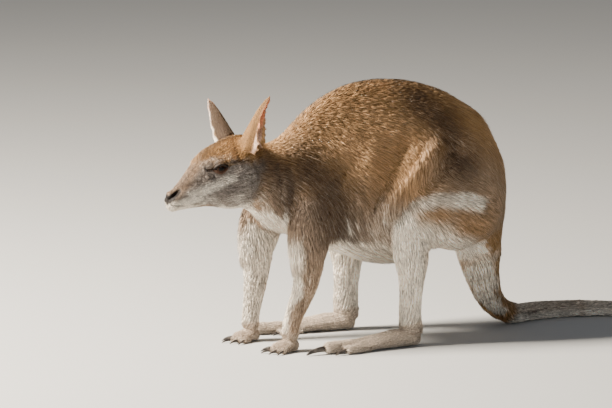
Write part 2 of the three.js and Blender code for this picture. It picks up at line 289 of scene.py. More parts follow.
def new_piece(name, points, faces):
    """A mesh object from points in metres."""
    mesh = bpy.data.meshes.new(name)
    mesh.from_pydata([tuple(p) for p in points], [], faces)
    piece = bpy.data.objects.new(name, mesh)
    bpy.context.scene.collection.objects.link(piece)
    return piece


# ---- shape of the skin ----
# Swells and hollows of the body on the left side: path, half width and height, in mm.
BODY_RELIEF = [
    ([(34, -84, 282), (16, -86, 262), (-1, -89, 244), (-20, -87, 222), (-38, -84, 200)], 12, 6.5),
    ([(56, -88, 275), (44, -94, 255), (20, -98, 232)], 14, -5.0),
    ([(-14, -80, 285), (-32, -84, 258), (-46, -82, 230), (-56, -80, 205)], 12, -4.5),
    ([(-60, -76, 285), (-68, -78, 250), (-74, -76, 220)], 14, 2.4),
    ([(62, -104, 214), (92, -100, 208)], 16, 1.6),
    ([(-120, -60, 262), (-128, -66, 232), (-134, -70, 205)], 16, 2.4),
    ([(-104, -62, 250), (-104, -70, 218), (-104, -66, 185)], 11, -3.4),
    ([(-92, -66, 206), (-88, -62, 182), (-84, -58, 160)], 4.5, 1.5),
    ([(-79, -68, 210), (-75, -66, 184), (-72, -60, 158)], 4.5, 1.6),
    ([(-66, -74, 214), (-62, -70, 184), (-60, -62, 156)], 4.5, 1.7),
    ([(-52, -78, 210), (-50, -72, 182), (-50, -64, 154)], 4.5, 1.7),
    ([(-40, -79, 196), (-40, -74, 172), (-40, -66, 150)], 4.5, 1.4),
]
# Folds of the skin behind the cheek, on the left side and on the right.
NECK_RELIEF = [
    ([(-198, -37, 268), (-196, -42, 240), (-196, -38, 212)], 5, 1.5),
    ([(-183, -40, 266), (-180, -45, 238), (-180, -44, 208)], 5, 1.4),
]
# The hind edge of the cheek: the hollow behind it and the swell before it, in the head's frame.
CHEEK_EDGE = [
    (-226, 33, 268), (-220, 35, 257), (-218.5, 35.5, 245), (-221, 34, 232), (-228, 30, 219), (-242, 24, 209),
]
CHEEK_RELIEF = [
    (CHEEK_EDGE, 4.5, -3.6),
    ([(x - 8, y, z - 1) for x, y, z in CHEEK_EDGE[1:5]], 5.0, 1.8),
]
# Features of the head: path on its left side, half width and height.
HEAD_RELIEF = [
    ([(-300, 14, 270), (-286, 20, 275), (-270, 25, 276.5), (-256, 28.5, 274)], 4.4, 2.3),
    ([(-302, 17, 260), (-294, 21, 258)], 4.0, -1.2),
    ([(-294, 24, 251), (-276, 31, 251), (-258, 35, 255), (-240, 36, 260)], 4.5, 1.6),
    ([(-262, 33, 242), (-284, 26, 236), (-300, 20, 231)], 7, -1.4),
    ([(-240, 35, 243), (-234, 35, 230), (-242, 31, 219)], 11, 3.0),
    ([(-322, 16, 230), (-334, 13, 226), (-343, 9, 220)], 5.0, 1.3),
    ([(-316, 16.5, 241), (-329, 13, 238)], 3.2, -1.0),
    ([(-250, 27, 284), (-240, 25, 291)], 6.0, -1.0),
    ([(-345, 3.5, 234), (-337, 5, 240)], 4.0, 1.1),
]
MOUTH = [(-352, 0, 216.5), (-347, 6, 215.6), (-338, 10.5, 214.6), (-326, 14, 213.6), (-312, 18, 214.6)]
NOSTRIL = [(-347.0, 5.6, 222.5), (-343.5, 8.6, 226.0), (-338.0, 9.8, 230.5), (-334.5, 9.6, 234.5)]
MUZZLE_TOP = [(-346, 0, 240), (-328, 0, 250), (-306, 0, 266)]
CHIN = [(-344, 0, 209), (-341, 0, 205)]
UPPER_LIP = [(x, y, z + 3.4) for x, y, z in MOUTH]
LOWER_LIP = [(x, y * 0.9, z - 3.2) for x, y, z in MOUTH[:4]]
NOSTRIL_WING = [(-345, 10, 221), (-340, 12, 225), (-334, 12.5, 232)]
NOSE_GROOVE = [(-352, 0, 230), (-352.5, 0, 218)]
FACE_RELIEF = [
    (MOUTH, 1.0, -1.5),
    (CHIN, 7.0, 1.8),
    (UPPER_LIP, 2.2, 0.7),
    (LOWER_LIP, 2.4, 0.7),
    (NOSTRIL, 2.5, -3.4),
    (MUZZLE_TOP, 11, -1.4),
    (NOSTRIL_WING, 2.2, 0.9),
    (NOSE_GROOVE, 1.1, -0.9),
]


def relief(points, features, pair=both_sides):
    """Total height of some swells and hollows at each point, on both sides."""
    total = np.zeros(len(points))
    for path, width, height in features:
        for side in pair(path):
            total += height * np.exp(-(path_distance(points, side) / width) ** 2)
    return total


def eye_axes(side):
    """Axes of an eye in the head frame: out of the eye, towards the nose, and up."""
    outward = unit(np.array([-0.32, 0.94 * side, -0.13]))
    forward = np.array([-0.93, -0.36 * side, -0.17])
    forward = unit(forward - outward * (forward @ outward))
    up = np.cross(outward, forward) * side
    return outward, forward, up


def eye_measures(head_points, side):
    """How far each point is from an eye's centre, and its place along and above the slit."""
    outward, forward, up = eye_axes(side)
    gap = head_points - np.array([EYE_CENTRE[0], EYE_CENTRE[1] * side, EYE_CENTRE[2]])
    ahead = np.arctan2(gap @ forward, gap @ outward) * EYE_RADIUS
    above = np.arctan2(gap @ up, gap @ outward) * EYE_RADIUS
    return np.linalg.norm(gap, axis=1), gap, ahead, above


def eye_reach(head_points):
    """Distance of each point from the centre of the nearer eye."""
    return np.minimum(*(eye_measures(head_points, side)[0] for side in (1.0, -1.0)))


SLIT_HALF_LENGTH = 8.2
# The slit reaches further towards the nose than behind, and its corners are this full.
FRONT_STRETCH = 1.12
CORNER_POWER = 1.55
UPPER_LID = 4.5
LOWER_LID = 4.5


def lid_gap(ahead, above):
    """Distance outside the rim of the lids, in about millimetres; negative over the open eye."""
    height = np.where(above > 0, UPPER_LID, LOWER_LID)
    length = np.where(ahead > 0, SLIT_HALF_LENGTH * FRONT_STRETCH, SLIT_HALF_LENGTH)
    share = np.abs(ahead / length) ** CORNER_POWER + np.abs(above / height) ** CORNER_POWER
    share = share ** (1 / CORNER_POWER)
    return (share - 1.0) * 3.6


# Height of the lids over the eyeball, how far they dip inside the rim, and the least height outside it.
LID_HEIGHT = 1.45
LID_DIP = 2.9
LEAST_HEIGHT = 1.1
# Furrows round the lids: distance from the rim, half width and depth. The upper lid's fold has a height.
LID_FURROWS = [(3.4, 0.9, 0.5), (5.6, 0.8, 0.3)]
UPPER_FOLD = (1.3, 0.9, 0.7)


def shape_lids(points):
    """Body places with the lids shaped round both eyes."""
    head = to_head(points)
    for side in (1.0, -1.0):
        reach, gap, ahead, above = eye_measures(head, side)
        near = (reach < 26) & (np.abs(ahead) < 18) & (np.abs(above) < 15)
        rim = lid_gap(ahead, above)
        lid = EYE_RADIUS + LID_HEIGHT - LID_DIP * (1 - smooth_step(-0.9, 0.15, rim))
        for place, width, depth in LID_FURROWS:
            lid = lid - depth * np.exp(-((rim - place) / width) ** 2)
        place, width, height = UPPER_FOLD
        lid = lid + height * np.exp(-((rim - place) / width) ** 2) * (above > 0)
        blend = (1 - smooth_step(2.2, 8.0, rim)) * near
        target = reach + (lid - reach) * blend
        target = np.where(rim > 0.2, np.maximum(target, EYE_RADIUS + LEAST_HEIGHT), target)
        head = head + unit(gap) * (target - reach)[:, None] * near[:, None]
    return from_head(head)


class Atlas:
    """Tells which zone of the solids is nearest to each point, and how far inside them the point lies."""

    def __init__(self):
        points, faces, owners = merged_copy(FLESH)
        self.tree = BVHTree.FromPolygons(points, faces)
        self.zones = np.array([ZONE_NAMES.index(zone_of(FLESH[owner])) for owner in owners])

    def look_up(self, points):
        """Zone number and signed distance in mm (negative inside) of each point."""
        places = (points + BODY_ORIGIN) * MM
        zones, depths = [], []
        for place in places:
            spot, normal, face, gap = self.tree.find_nearest(Vector(place))
            zones.append(self.zones[face])
            inside = (Vector(place) - spot).dot(normal) < 0
            depths.append(-gap / MM if inside else gap / MM)
        return np.array(zones), np.array(depths)


def of_zone(zones, field):
    """One value of each point's zone."""
    table = np.array([getattr(ZONES[name], field) for name in ZONE_NAMES], dtype=float)
    return table[zones]


def is_zone(zones, *names):
    """1 for points of the named zones and 0 elsewhere."""
    return np.isin(zones, [ZONE_NAMES.index(name) for name in names]).astype(float)


def add_socket_fillers(points, faces):
    """Adds a ball round each eye, so that the lids can be shaped from it."""
    for side in (1.0, -1.0):
        centre = from_head([EYE_CENTRE[0], EYE_CENTRE[1] * side, EYE_CENTRE[2]])
        ball = bmesh.new()
        bmesh.ops.create_icosphere(ball, subdivisions=3, radius=(EYE_RADIUS + 1.5) * MM)
        start = len(points)
        shift = Vector((centre + BODY_ORIGIN) * MM)
        points += [v.co + shift for v in ball.verts]
        faces += [[v.index + start for v in face.verts] for face in ball.faces]
        ball.free()


# The thin ears are swelled before the voxels melt them and thinned again afterwards, less at their rims,
# where the two sides of the wall would pass through each other.
EAR_SWELL = 1.6
EAR_ROUNDS = 24
RIM_THINNING = 0.4
# A round of smoothing that shrinks and one that swells again, in turn.
SHRINK_AND_SWELL = (0.6, -0.62)
# Rounds that even out the depth and then the points of the torso.
DEPTH_ROUNDS = 240
TORSO_ROUNDS = 80
# How far the muzzle's front is drawn back.
MUZZLE_DRAWN_BACK = 3.0
# The remesh leaves specks beside the ears. They are deleted, and more points than this are an error.
MOST_SPECKS = 200
# The head's faces get finer in front of these places and within this distance of an eye. The later
# thinning leaves them alone inside the limits that are called kept.
HEAD_FINE_FROM = -222
MUZZLE_FINE_FROM = -322
MUZZLE_KEPT_FROM = -328
EYE_FINE_REACH = 16.5
EYE_KEPT_REACH = 17.5
# Where the head's own relief sets in, along the head, and the height under which it has none.
HEAD_EDGE = (-214, -224)
THROAT_HEIGHT = 196


def off_the_body(mesh):
    """True for the points of a mesh that aren't joined to its largest piece."""
    net = Net(mesh)
    label = np.arange(len(mesh.vertices))
    while True:
        least = label.copy()
        np.minimum.at(least, net.start, label[net.end])
        np.minimum.at(least, net.end, label[net.start])
        least = least[least]
        if np.array_equal(least, label):
            return label != np.bincount(label).argmax()
        label = least


def build_skin(settings):
    """One closed skin over the flesh, lying inside it by the depth of the coat."""
    points, faces, _ = merged_copy(FLESH, grow=0.4 * MM, grow_ears=EAR_SWELL * MM)
    add_socket_fillers(points, faces)
    skin = new_piece("skin", points, faces)
    activate(skin)
    remesh = skin.modifiers.new("one surface", "REMESH")
    remesh.mode = "VOXEL"
    remesh.voxel_size = settings.voxel
    bpy.ops.object.modifier_apply(modifier=remesh.name)
    atlas = Atlas()
    mesh = skin.data
    specks = off_the_body(mesh)
    if specks.sum() > MOST_SPECKS:
        raise RuntimeError(f"{specks.sum()} points of the skin aren't joined to the body")
    if specks.any():
        edit_points(skin, specks, bpy.ops.mesh.delete, type="VERT")

    # Joints between the solids are melted away on the body and kept crisp on the face and feet.
    net = Net(mesh)
    points = mesh_points(mesh)
    zones, _ = atlas.look_up(points)
    rounds = net.spread(of_zone(zones, "rounds"), 12)
    thin = net.spread(is_zone(zones, "ear", "forepaw", "hind_foot"), 4)
    most = int(rounds.max())
    for turn in range(most):
        rate = 0.9 * np.clip(rounds - turn, 0.0, 1.0)
        # Thin parts are swelled again in every other round, so that they keep their size.
        rate = rate * (1 - thin) + thin * np.where(rounds > turn, SHRINK_AND_SWELL[turn % 2], 0.0)
        points = points + rate[:, None] * (net.mean(points) - points)
    set_points(mesh, points)
    zones, depths = atlas.look_up(points)
    normals = net.spread(mesh_normals(mesh), 3)
    wanted = -of_zone(zones, "depth")
    move = net.spread(wanted - depths, 25, 0.9)
    # On the torso the depth is evened out further, or the facets of the solids would come back.
    move = net.spread(move, DEPTH_ROUNDS, 0.9 * net.spread(is_zone(zones, *TORSO, "thigh"), 10))
    small = is_zone(zones, "ear", "nose", "muzzle", "forepaw", "hind_foot")
    small = net.spread(small, 6)
    ear = is_zone(zones, "ear")
    flat = smooth_step(0.55, 0.92, np.linalg.norm(net.spread(mesh_normals(mesh), 2), axis=1))
    thinned = RIM_THINNING + (1 - RIM_THINNING) * flat
    wanted = net.spread(wanted, 6) - net.spread((EAR_SWELL - 0.2) * ear * thinned, 2)
    move = move * (1 - small) + wanted * small
    points = points + unit(normals) * move[:, None]
    ear = net.spread(ear, 2)
    for turn in range(EAR_ROUNDS):
        points = points + (SHRINK_AND_SWELL[turn % 2] * ear)[:, None] * (net.mean(points) - points)
    points = net.spread(points, TORSO_ROUNDS, 0.8 * net.spread(is_zone(zones, *TORSO), 10))
    points = points + unit(normals) * relief(points, BODY_RELIEF)[:, None]
    points = points + unit(normals) * relief(points, NECK_RELIEF)[:, None]
    points = points + unit(normals) * relief(to_head(points), CHEEK_RELIEF)[:, None]
    head = to_head(points)
    front = smooth_step(-285, -350, head[:, 0])
    head[:, 0] += MUZZLE_DRAWN_BACK * front
    points = from_head(head)
    set_points(mesh, points)

    # The head gets finer faces, and the eyes and muzzle the finest.
    head = to_head(points)
    on_head = is_zone(zones, "head", "muzzle", "nose") > 0
    edit_points(skin, on_head & (head[:, 0] < HEAD_FINE_FROM), bpy.ops.mesh.subdivide,
                number_cuts=1, smoothness=0.0)
    points = mesh_points(mesh)
    head = to_head(points)
    reach = eye_reach(head)
    fine = (reach < EYE_FINE_REACH) | (head[:, 0] < MUZZLE_FINE_FROM)
    edit_points(skin, fine, bpy.ops.mesh.subdivide, number_cuts=1, smoothness=0.0)

    points = mesh_points(mesh)
    net = Net(mesh)
    head_share = smooth_step(*HEAD_EDGE, to_head(points)[:, 0]) * (points[:, 2] > THROAT_HEIGHT)
    points = net.spread(points, 6, 0.8 * head_share)
    set_points(mesh, points)
    normals = mesh_normals(mesh)
    head = to_head(points)
    sculpt = relief(head, HEAD_RELIEF)
    for feature in FACE_RELIEF:
        sculpt += relief(head, [feature])
    points = points + normals * (sculpt * head_share)[:, None]
    points = shape_lids(points)
    reach = eye_reach(to_head(points))
    points = net.spread(points, 2, 0.35 * (reach < 15))
    set_points(mesh, points)

    # The torso lies under the thickest coat and needs the fewest faces.
    zones, _ = atlas.look_up(points)
    coarse = is_zone(zones, *TORSO, "thigh", "tail_1", "upper_arm") > 0
    edit_points(skin, coarse, bpy.ops.mesh.decimate, ratio=settings.torso_share)
    head = to_head(mesh_points(mesh))
    zones, _ = atlas.look_up(mesh_points(mesh))
    reach = eye_reach(head)
    furred = (is_zone(zones, "head", "muzzle") > 0) & (reach > EYE_KEPT_REACH)
    furred &= head[:, 0] > MUZZLE_KEPT_FROM
    edit_points(skin, furred, bpy.ops.mesh.decimate, ratio=settings.head_share)
    zones, _ = atlas.look_up(mesh_points(mesh))
    middling = is_zone(zones, "tail_2", "tail_3", "tail_4", "forearm", "shank") > 0
    edit_points(skin, middling, bpy.ops.mesh.decimate, ratio=settings.limb_share)
    mesh.shade_smooth()
    return skin, atlas


# ---- markings and the lie of the coat ----
def left_view(points, zones):
    """Points mirrored to the left side, with the right legs' steps undone."""
    view = points.copy()
    right = points[:, 1] > 0
    drop = smooth_step(245, 160, points[:, 2])
    hind = is_zone(zones, "thigh", "shank", "hind_foot") * right
    fore = is_zone(zones, "upper_arm", "forearm", "forepaw") * right
    view[:, 0] += (31 * hind + 34 * fore) * drop
    view[:, 1] = -np.abs(points[:, 1])
    return view


def patch(points, path, width, edge=0.35):
    """1 within the given distance of a path, falling softly to 0 outside it."""
    gap = path_distance(points, path) / width
    return 1 - smooth_step(1 - edge, 1 + edge, gap)


def paint(net, points, normals, zones):
    """Strength of each marking at each point of the skin."""
    view = left_view(points, zones)
    face = normals * np.where(points[:, 1:2] > 0, [[1.0, -1.0, 1.0]], [[1.0, 1.0, 1.0]])
    head = to_head(points)
    head_side = np.stack([head[:, 0], np.abs(head[:, 1]), head[:, 2]], axis=1)
    torso = net.spread(is_zone(zones, *TORSO), 8)
    thigh = net.spread(is_zone(zones, "thigh"), 8)
    shank = net.spread(is_zone(zones, "shank"), 8)
    foot = net.spread(is_zone(zones, "hind_foot"), 5)
    arm = net.spread(is_zone(zones, "upper_arm"), 8)
    forearm = net.spread(is_zone(zones, "forearm"), 8)
    paw = net.spread(is_zone(zones, "forepaw"), 4)
    skull = net.spread(is_zone(zones, "head", "muzzle", "nose"), 5)
    ear = net.spread(is_zone(zones, "ear"), 2)
    tail = [net.spread(is_zone(zones, f"tail_{n}"), 6) for n in (1, 2, 3, 4)]
    ragged = waves(points, 16, 3) * 0.12 + waves(points, 5, 4) * 0.07
    height = points[:, 2]
    marks = {}

    under = face @ unit(np.array([-0.45, 0.0, -0.9])) + ragged
    front = face @ unit(np.array([-0.95, -0.05, -0.3])) + ragged
    inner = face[:, 1] + ragged
    pale = torso * smooth_step(0.36, 0.86, under)
    pale = np.maximum(pale, torso * smooth_step(134, 112, height + 22 * ragged) * 0.9)
    white_front = smooth_step(0.25, 0.75, front) * np.maximum(forearm, arm * smooth_step(182, 150, height))
    pale = np.maximum(pale, white_front * 0.78)
    chest = patch(view, [(-206, -4, 198), (-192, -10, 177), (-177, -28, 158), (-168, -42, 138)], 15, 0.6)
    pale = np.maximum(pale, 0.9 * chest * np.clip(torso + arm, 0, 1))
    pale = np.maximum(pale, (arm + forearm) * smooth_step(0.20, 0.80, inner) * 0.62)
    pale = np.maximum(pale, shank * smooth_step(0.10, 0.65, inner) * 0.85)
    pale = np.maximum(pale, shank * smooth_step(0.05, 0.70, front) * 0.95)
    pale = np.maximum(pale, 0.18 * forearm + 0.34 * paw)
    stripe = patch(view, [(-30, -83, 196), (-10, -94, 206), (24, -103, 212), (55, -103, 209)], 10, 0.6)
    patch_hip = patch(view, [(52, -103, 209), (74, -101, 207), (90, -98, 200)], 11.5, 0.6)
    knee = patch(view, [(-34, -80, 192), (-22, -90, 165), (-12, -92, 125), (-10, -86, 60)], 30, 0.5)
    lower = thigh * smooth_step(200, 166, height + 40 * ragged) * smooth_step(95, 20, view[:, 0])
    hock = patch(view, [(4, -100, 166), (30, -98, 154), (80, -80, 134)], 22, 0.7)
    leg = np.maximum(np.maximum(stripe * 0.66, patch_hip * 0.95), np.maximum(knee * 0.95, lower * 0.60))
    leg = np.maximum(leg, hock * 0.80)
    brown = patch(view, [(66, -103, 185), (102, -92, 172), (118, -82, 160)], 15, 0.8)
    leg = leg * (1 - 0.8 * brown * (1 - patch_hip))
    leg = np.maximum(leg, thigh * smooth_step(0.2, 0.7, inner) * smooth_step(215, 170, height) * 0.9)
    pale = np.maximum(pale, np.clip(leg, 0, 1) * np.clip(thigh + shank + 0.25 * torso, 0, 1))
    pale = np.maximum(pale, 0.40 * shank + 0.42 * foot)
    tail_side = smooth_step(0.35, 0.85, face @ unit(np.array([-0.45, -0.85, -0.2])) + ragged)
    pale = np.maximum(pale, tail[0] * (0.10 + 0.80 * tail_side))
    low_side = smooth_step(0.3, -0.4, normals[:, 2])
    pale = np.maximum(pale, tail[1] * (0.40 + 0.4 * low_side))
    pale = np.maximum(pale, (tail[2] + tail[3]) * (0.50 + 0.3 * low_side))

    # Lips, chin, throat and the stripe along the cheek to below the eye.
    chin = smooth_step(215, 208, head[:, 2] + 22 * ragged) * smooth_step(-205, -225, head[:, 0])
    lip = patch(head_side, [(-350, 4, 213), (-338, 12, 215), (-324, 17, 219), (-308, 21, 223)], 7.5, 0.6)
    cheek_path = [(-318, 18.5, 226), (-298, 24.5, 234), (-282, 30.5, 242), (-266, 34.8, 249)]
    cheek = patch(head_side, cheek_path, 7.5, 0.8)
    brow = patch(head_side, [(-300, 15, 268), (-286, 20, 275), (-266, 27, 277)], 5.0, 0.9)
    bridge = patch(head_side, [(-338, 0, 243), (-318, 5, 255), (-300, 8, 268)], 9, 0.8)
    jowl = patch(head_side, [(-262, 34, 252), (-238, 35, 252), (-232, 34, 236), (-240, 33, 226)], 14, 0.9)
    pale_head = np.maximum(np.maximum(chin * 0.9, lip * 0.92), np.maximum(cheek * 0.90, brow * 0.26))
    pale_head = np.maximum(pale_head, np.maximum(bridge * 0.10, jowl * 0.22))
    jaw = smooth_step(226, 210, head[:, 2] + 30 * ragged) * 0.42
    mottle = 0.86 + 0.12 * waves(points, 3.5, 7)
    pale = np.maximum(pale, skull * np.maximum(pale_head, jaw) * np.clip(mottle, 0.3, 1.1))

    ginger = skull * smooth_step(260, 282, head[:, 2] + 30 * ragged) * 0.95
    ginger = np.maximum(ginger, skull * 0.8 * patch(head_side, [(-296, 0, 283), (-252, 14, 297)], 14, 0.6))
    ginger = np.maximum(ginger, 0.45 * ear)
    ginger = np.maximum(ginger, 0.22 * torso * smooth_step(0.1, 0.9, normals[:, 2]))

    bridge_share = smooth_step(17, 9, head_side[:, 1]) * smooth_step(-276, -296, head[:, 0])
    grey = skull * smooth_step(276, 262, head[:, 2] + 25 * ragged) * 0.9 * (1 - 0.55 * bridge_share)
    grey = np.maximum(grey, skull * 0.50 * smooth_step(-296, -318, head[:, 0]))
    grey = np.maximum(grey, net.spread(is_zone(zones, "neck"), 10) * smooth_step(270, 235, height) * 0.5)
    fore_body = torso * smooth_step(260, 170, height) * smooth_step(30, -30, points[:, 0])
    grey = np.maximum(grey, fore_body * 0.62)
    haunch_path = [(60, -100, 240), (110, -90, 230), (150, -60, 200)]
    grey = np.maximum(grey, 0.45 * patch(view, haunch_path, 45, 0.9))
    grey = np.maximum(grey, 0.55 * arm + 0.45 * (forearm + paw) + 0.45 * shank + 0.5 * foot)
    grey = np.maximum(grey, 0.6 * (tail[1] + tail[2] + tail[3]))

    # Dark fur on the shoulder, the neck, high on the back and the rump, each patch darkened further as
    # painted shade.
    dark = np.zeros(len(points))
    for strength, path, width in (
        # Shoulder: dark fur, with the head's shadow painted on it.
        (0.98, [(-152, -48, 262), (-130, -60, 238), (-114, -64, 200), (-112, -60, 176)], 34),
        # Neck behind the cheek: dark fur, with the head's shadow painted on it.
        (0.92, [(-196, -40, 262), (-180, -46, 240), (-172, -48, 214)], 24),
        # High on the hip: dark fur, with painted shade where the back turns from the light.
        (0.92, [(18, -45, 340), (46, -62, 322), (54, -78, 298), (66, -90, 266)], 30),
        # Hind edge of the rump: slightly darker fur, with painted shade.
        (0.34, [(140, -60, 262), (158, -40, 190), (166, -20, 130)], 34),
    ):
        dark = np.maximum(dark, strength * patch(view, path, width, 0.9))
    dark = np.maximum(dark, 0.55 * tail[0] * smooth_step(0.1, 0.8, normals @ unit(np.array([1.0, 0, 0.3]))))
    snout_path = [(-330, 11, 239), (-318, 16, 243), (-305, 20, 249), (-293, 23.5, 255)]
    snout = patch(head_side, snout_path, 5.5, 0.9)
    dark = np.maximum(dark, skull * 0.78 * snout * np.clip(0.85 + 0.35 * waves(points, 3.0, 8), 0.3, 1.2))
    speckle = np.clip(0.55 + 0.45 * waves(points, 2.4, 9), 0, 1.2)
    dark = np.maximum(dark, skull * 0.62 * bridge_share * speckle)
    dark = np.maximum(dark, skull * 0.46 * patch(head_side, [(-300, 0, 277), (-246, 0, 302)], 5, 0.8))
    # A dark line from behind the eye over the cheek, and painted shade in the hollow behind the cheek's hind
    # edge.
    over_cheek = [(-264, 29.5, 269), (-254, 31, 270.5), (-238, 33, 270), CHEEK_EDGE[0]]
    behind_cheek = [(x + 2.5, y, z - 0.5) for x, y, z in CHEEK_EDGE]
    cheek_line_and_shade = patch(head_side, over_cheek, 2.3, 0.8)
    cheek_line_and_shade = np.maximum(cheek_line_and_shade, patch(head_side, behind_cheek, 3.6, 0.6))
    dark = np.maximum(dark, np.maximum(skull, torso) * cheek_line_and_shade)
    # The back of the far ear is painted dark as shade, over the ear's own slightly darker hair.
    far_ear_shade = smooth_step(-0.2, 0.4, -normals[:, 1]) * (points[:, 1] > 0)
    dark = np.maximum(dark, ear * (0.10 + 0.90 * far_ear_shade))
    tips = smooth_step(12, 2, height) * (paw + foot)
    dark = np.maximum(dark, 0.45 * np.clip(tips, 0, 1))

    # Bare skin: the nose pad, the nostrils, the rims of the lids and the mouth.
    pad = patch(head_side, [(-348, 0, 224), (-349, 0, 219.5)], 6.4, 0.35)
    nostril = np.maximum(patch(head_side, NOSTRIL, 4.8, 0.3), patch(head_side, NOSTRIL[:2], 5.8, 0.3))
    mouth = patch(head_side, MOUTH[:4], 1.1, 0.6)
    bare = skull * np.maximum(np.maximum(pad, nostril), mouth)
    rim_dark = np.zeros(len(points))
    rim_pink = np.zeros(len(points))
    for side in (1.0, -1.0):
        reach, _, ahead, above = eye_measures(head, side)
        rim = lid_gap(ahead, above)
        near = (reach < 18) & (np.abs(ahead) < 15)
        bare = np.maximum(bare, near * smooth_step(np.where(above > 0, 3.6, 2.2), 1.0, rim) * 0.95)
        liner = smooth_step(np.where(above > 0, 6.0, 4.4), 2.0, rim) * 0.97
        duct = patch(head_side, [(-284, 26, 261), (-291, 23.5, 260)], 4.2, 0.7)
        duct = np.maximum(duct, patch(head_side, [(-291, 23.5, 260), (-299, 20, 257.5)], 2.6, 0.9))
        rim_dark = np.maximum(rim_dark, near * liner)
        rim_dark = np.maximum(rim_dark, skull * duct * 0.9)
        rim_pink = np.maximum(rim_pink, near * (above < -1) * smooth_step(2.4, 1.2, rim) * 0.18)
    dark = np.maximum(dark, rim_dark)
    pale = pale * (1 - rim_dark) * (1 - 0.8 * skull * cheek_line_and_shade)
    inside = net.spread(ear_inside(points, normals), 9) * net.spread(is_zone(zones, "ear"), 4)
    high = smooth_step(300, 335, height)
    marks["pink"] = np.clip(np.maximum(inside * (0.30 + 0.65 * high), rim_pink), 0, 1)
    pale = np.maximum(pale, inside * (0.58 - 0.35 * high))
    # Pale ear edges, with a painted highlight along the far ear's rim.
    pale = np.maximum(pale, net.spread(ear_rim_and_highlight(points, zones), 1))
    marks["pale"] = np.clip(pale, 0, 1)
    marks["dark"] = np.clip(dark * (1 - inside), 0, 1)
    marks["ginger"] = np.clip(ginger * (1 - inside), 0, 1)
    marks["grey"] = np.clip(grey * (1 - inside), 0, 1)
    marks["bare"] = np.clip(bare * (1 - rim_pink), 0, 1)
    return marks


# Root, tip and the way each ear opens, as the solids have them.
EARS = {
    "left": ((-236, -22, 286), (-207, -61, 364), (0.78, -0.63, 0.1)),
    "right": ((-234, 16, 286), (-247, 68, 348), (0.05, 1.0, 0.0)),
}


def ear_axes(side):
    """Root, axis and opening direction of one ear."""
    root, tip, face = (np.array(value, dtype=float) for value in EARS[side])
    axis = unit(tip - root)
    return root, axis, unit(face - axis * (face @ axis))


def ear_places(points, side):
    """Share of the ear's length, distance across it and along its opening, for one ear."""
    root, axis, face = ear_axes(side)
    length = np.linalg.norm(np.subtract(EARS[side][1], EARS[side][0]))
    gap = points - root
    return gap @ axis / length, gap @ np.cross(axis, face), gap @ face


def ear_inside(points, normals):
    """1 on the hollow side of the ears and 0 on their backs."""
    result = np.zeros(len(points))
    for side, y_sign in SIDES.items():
        _, axis, face = ear_axes(side)
        share, lateral, _ = ear_places(points, side)
        inward = normals @ face - 0.055 * lateral * (normals @ np.cross(axis, face))
        mine = points[:, 1] * y_sign > 0
        here = smooth_step(0.05, 0.3, inward) * smooth_step(0.02, 0.16, share) * mine
        here = here * smooth_step(1.0, 0.94, share)
        result = np.maximum(result, here)
    return result


RIM_SLICES = 24


def ear_rim_and_highlight(points, zones):
    """Strength of the pale hair along the front edge of each ear, which on the far ear is a painted
    highlight along its rim.
    """
    result = np.zeros(len(points))
    for side, y_sign in SIDES.items():
        root, axis, face = ear_axes(side)
        share = ear_places(points, side)[0]
        forward = np.cross(axis, face)
        ahead = (points - root) @ (forward * -np.sign(forward[0]))
        mine = (is_zone(zones, "ear") > 0) & (points[:, 1] * y_sign > 0)
        slices = np.clip((share * RIM_SLICES).astype(int), 0, RIM_SLICES - 1)
        most = np.full(RIM_SLICES, -1e9)
        np.maximum.at(most, slices[mine], ahead[mine])
        # The far (right) ear's rim is painted bright as a highlight; the near ear keeps a faint pale edge.
        strength = 0.95 if side == "right" else 0.2
        result = np.maximum(result, mine * smooth_step(-1.9, -0.8, ahead - most[slices]) * strength)
    return result


LIE = {
    "neck": (1.0, 0.0, -0.50), "shoulders": (0.80, 0.0, -0.62), "belly": (0.86, 0.0, -0.50),
    "rump": (0.62, 0.0, -0.78), "thigh": (0.60, 0.0, -0.66), "shank": (-0.05, 0.0, -1.0),
    "hind_foot": (-1.0, 0.0, -0.15), "upper_arm": (0.22, 0.0, -1.0), "forearm": (-0.15, 0.0, -1.0),
    "forepaw": (-1.0, 0.0, -0.4), "tail_1": (0.30, 0.04, -1.0), "tail_2": (1.0, 0.25, -0.1),
    "tail_3": (0.85, -0.45, 0.0), "tail_4": (0.55, -0.85, 0.0), "nose": (1.0, 0.0, 0.3),
    "head": (1.0, 0.0, 0.0), "muzzle": (1.0, 0.0, 0.0), "ear": (0.0, 0.0, 1.0),
}


# Where the hair turns from its zone's lie: path on the left side, half width, and the way it points.
LIE_TURNS = [
    ([(34, -84, 282), (-1, -89, 244), (-38, -84, 200)], 20, (-0.45, 0.0, -1.0)),
    ([(-80, -64, 185), (-45, -70, 180)], 34, (0.25, 0.2, -1.0)),
    ([(-30, -80, 190), (-15, -90, 150)], 24, (0.15, 0.0, -1.0)),
    ([(10, -100, 214), (60, -104, 212), (92, -98, 204)], 15, (1.0, 0.0, 0.10)),
    ([(60, -100, 178), (110, -86, 165)], 22, (0.80, 0.0, -0.55)),
    ([(-205, -20, 200), (-190, -20, 175)], 25, (0.5, 0.0, -1.0)),
]
TURN_STRENGTH = 0.85
LIE_ROUNDS = 14


def tangent(vectors, normals):
    """The vectors laid along the surface."""
    return unit(vectors - normals * np.einsum("ij,ij->i", vectors, normals)[:, None])


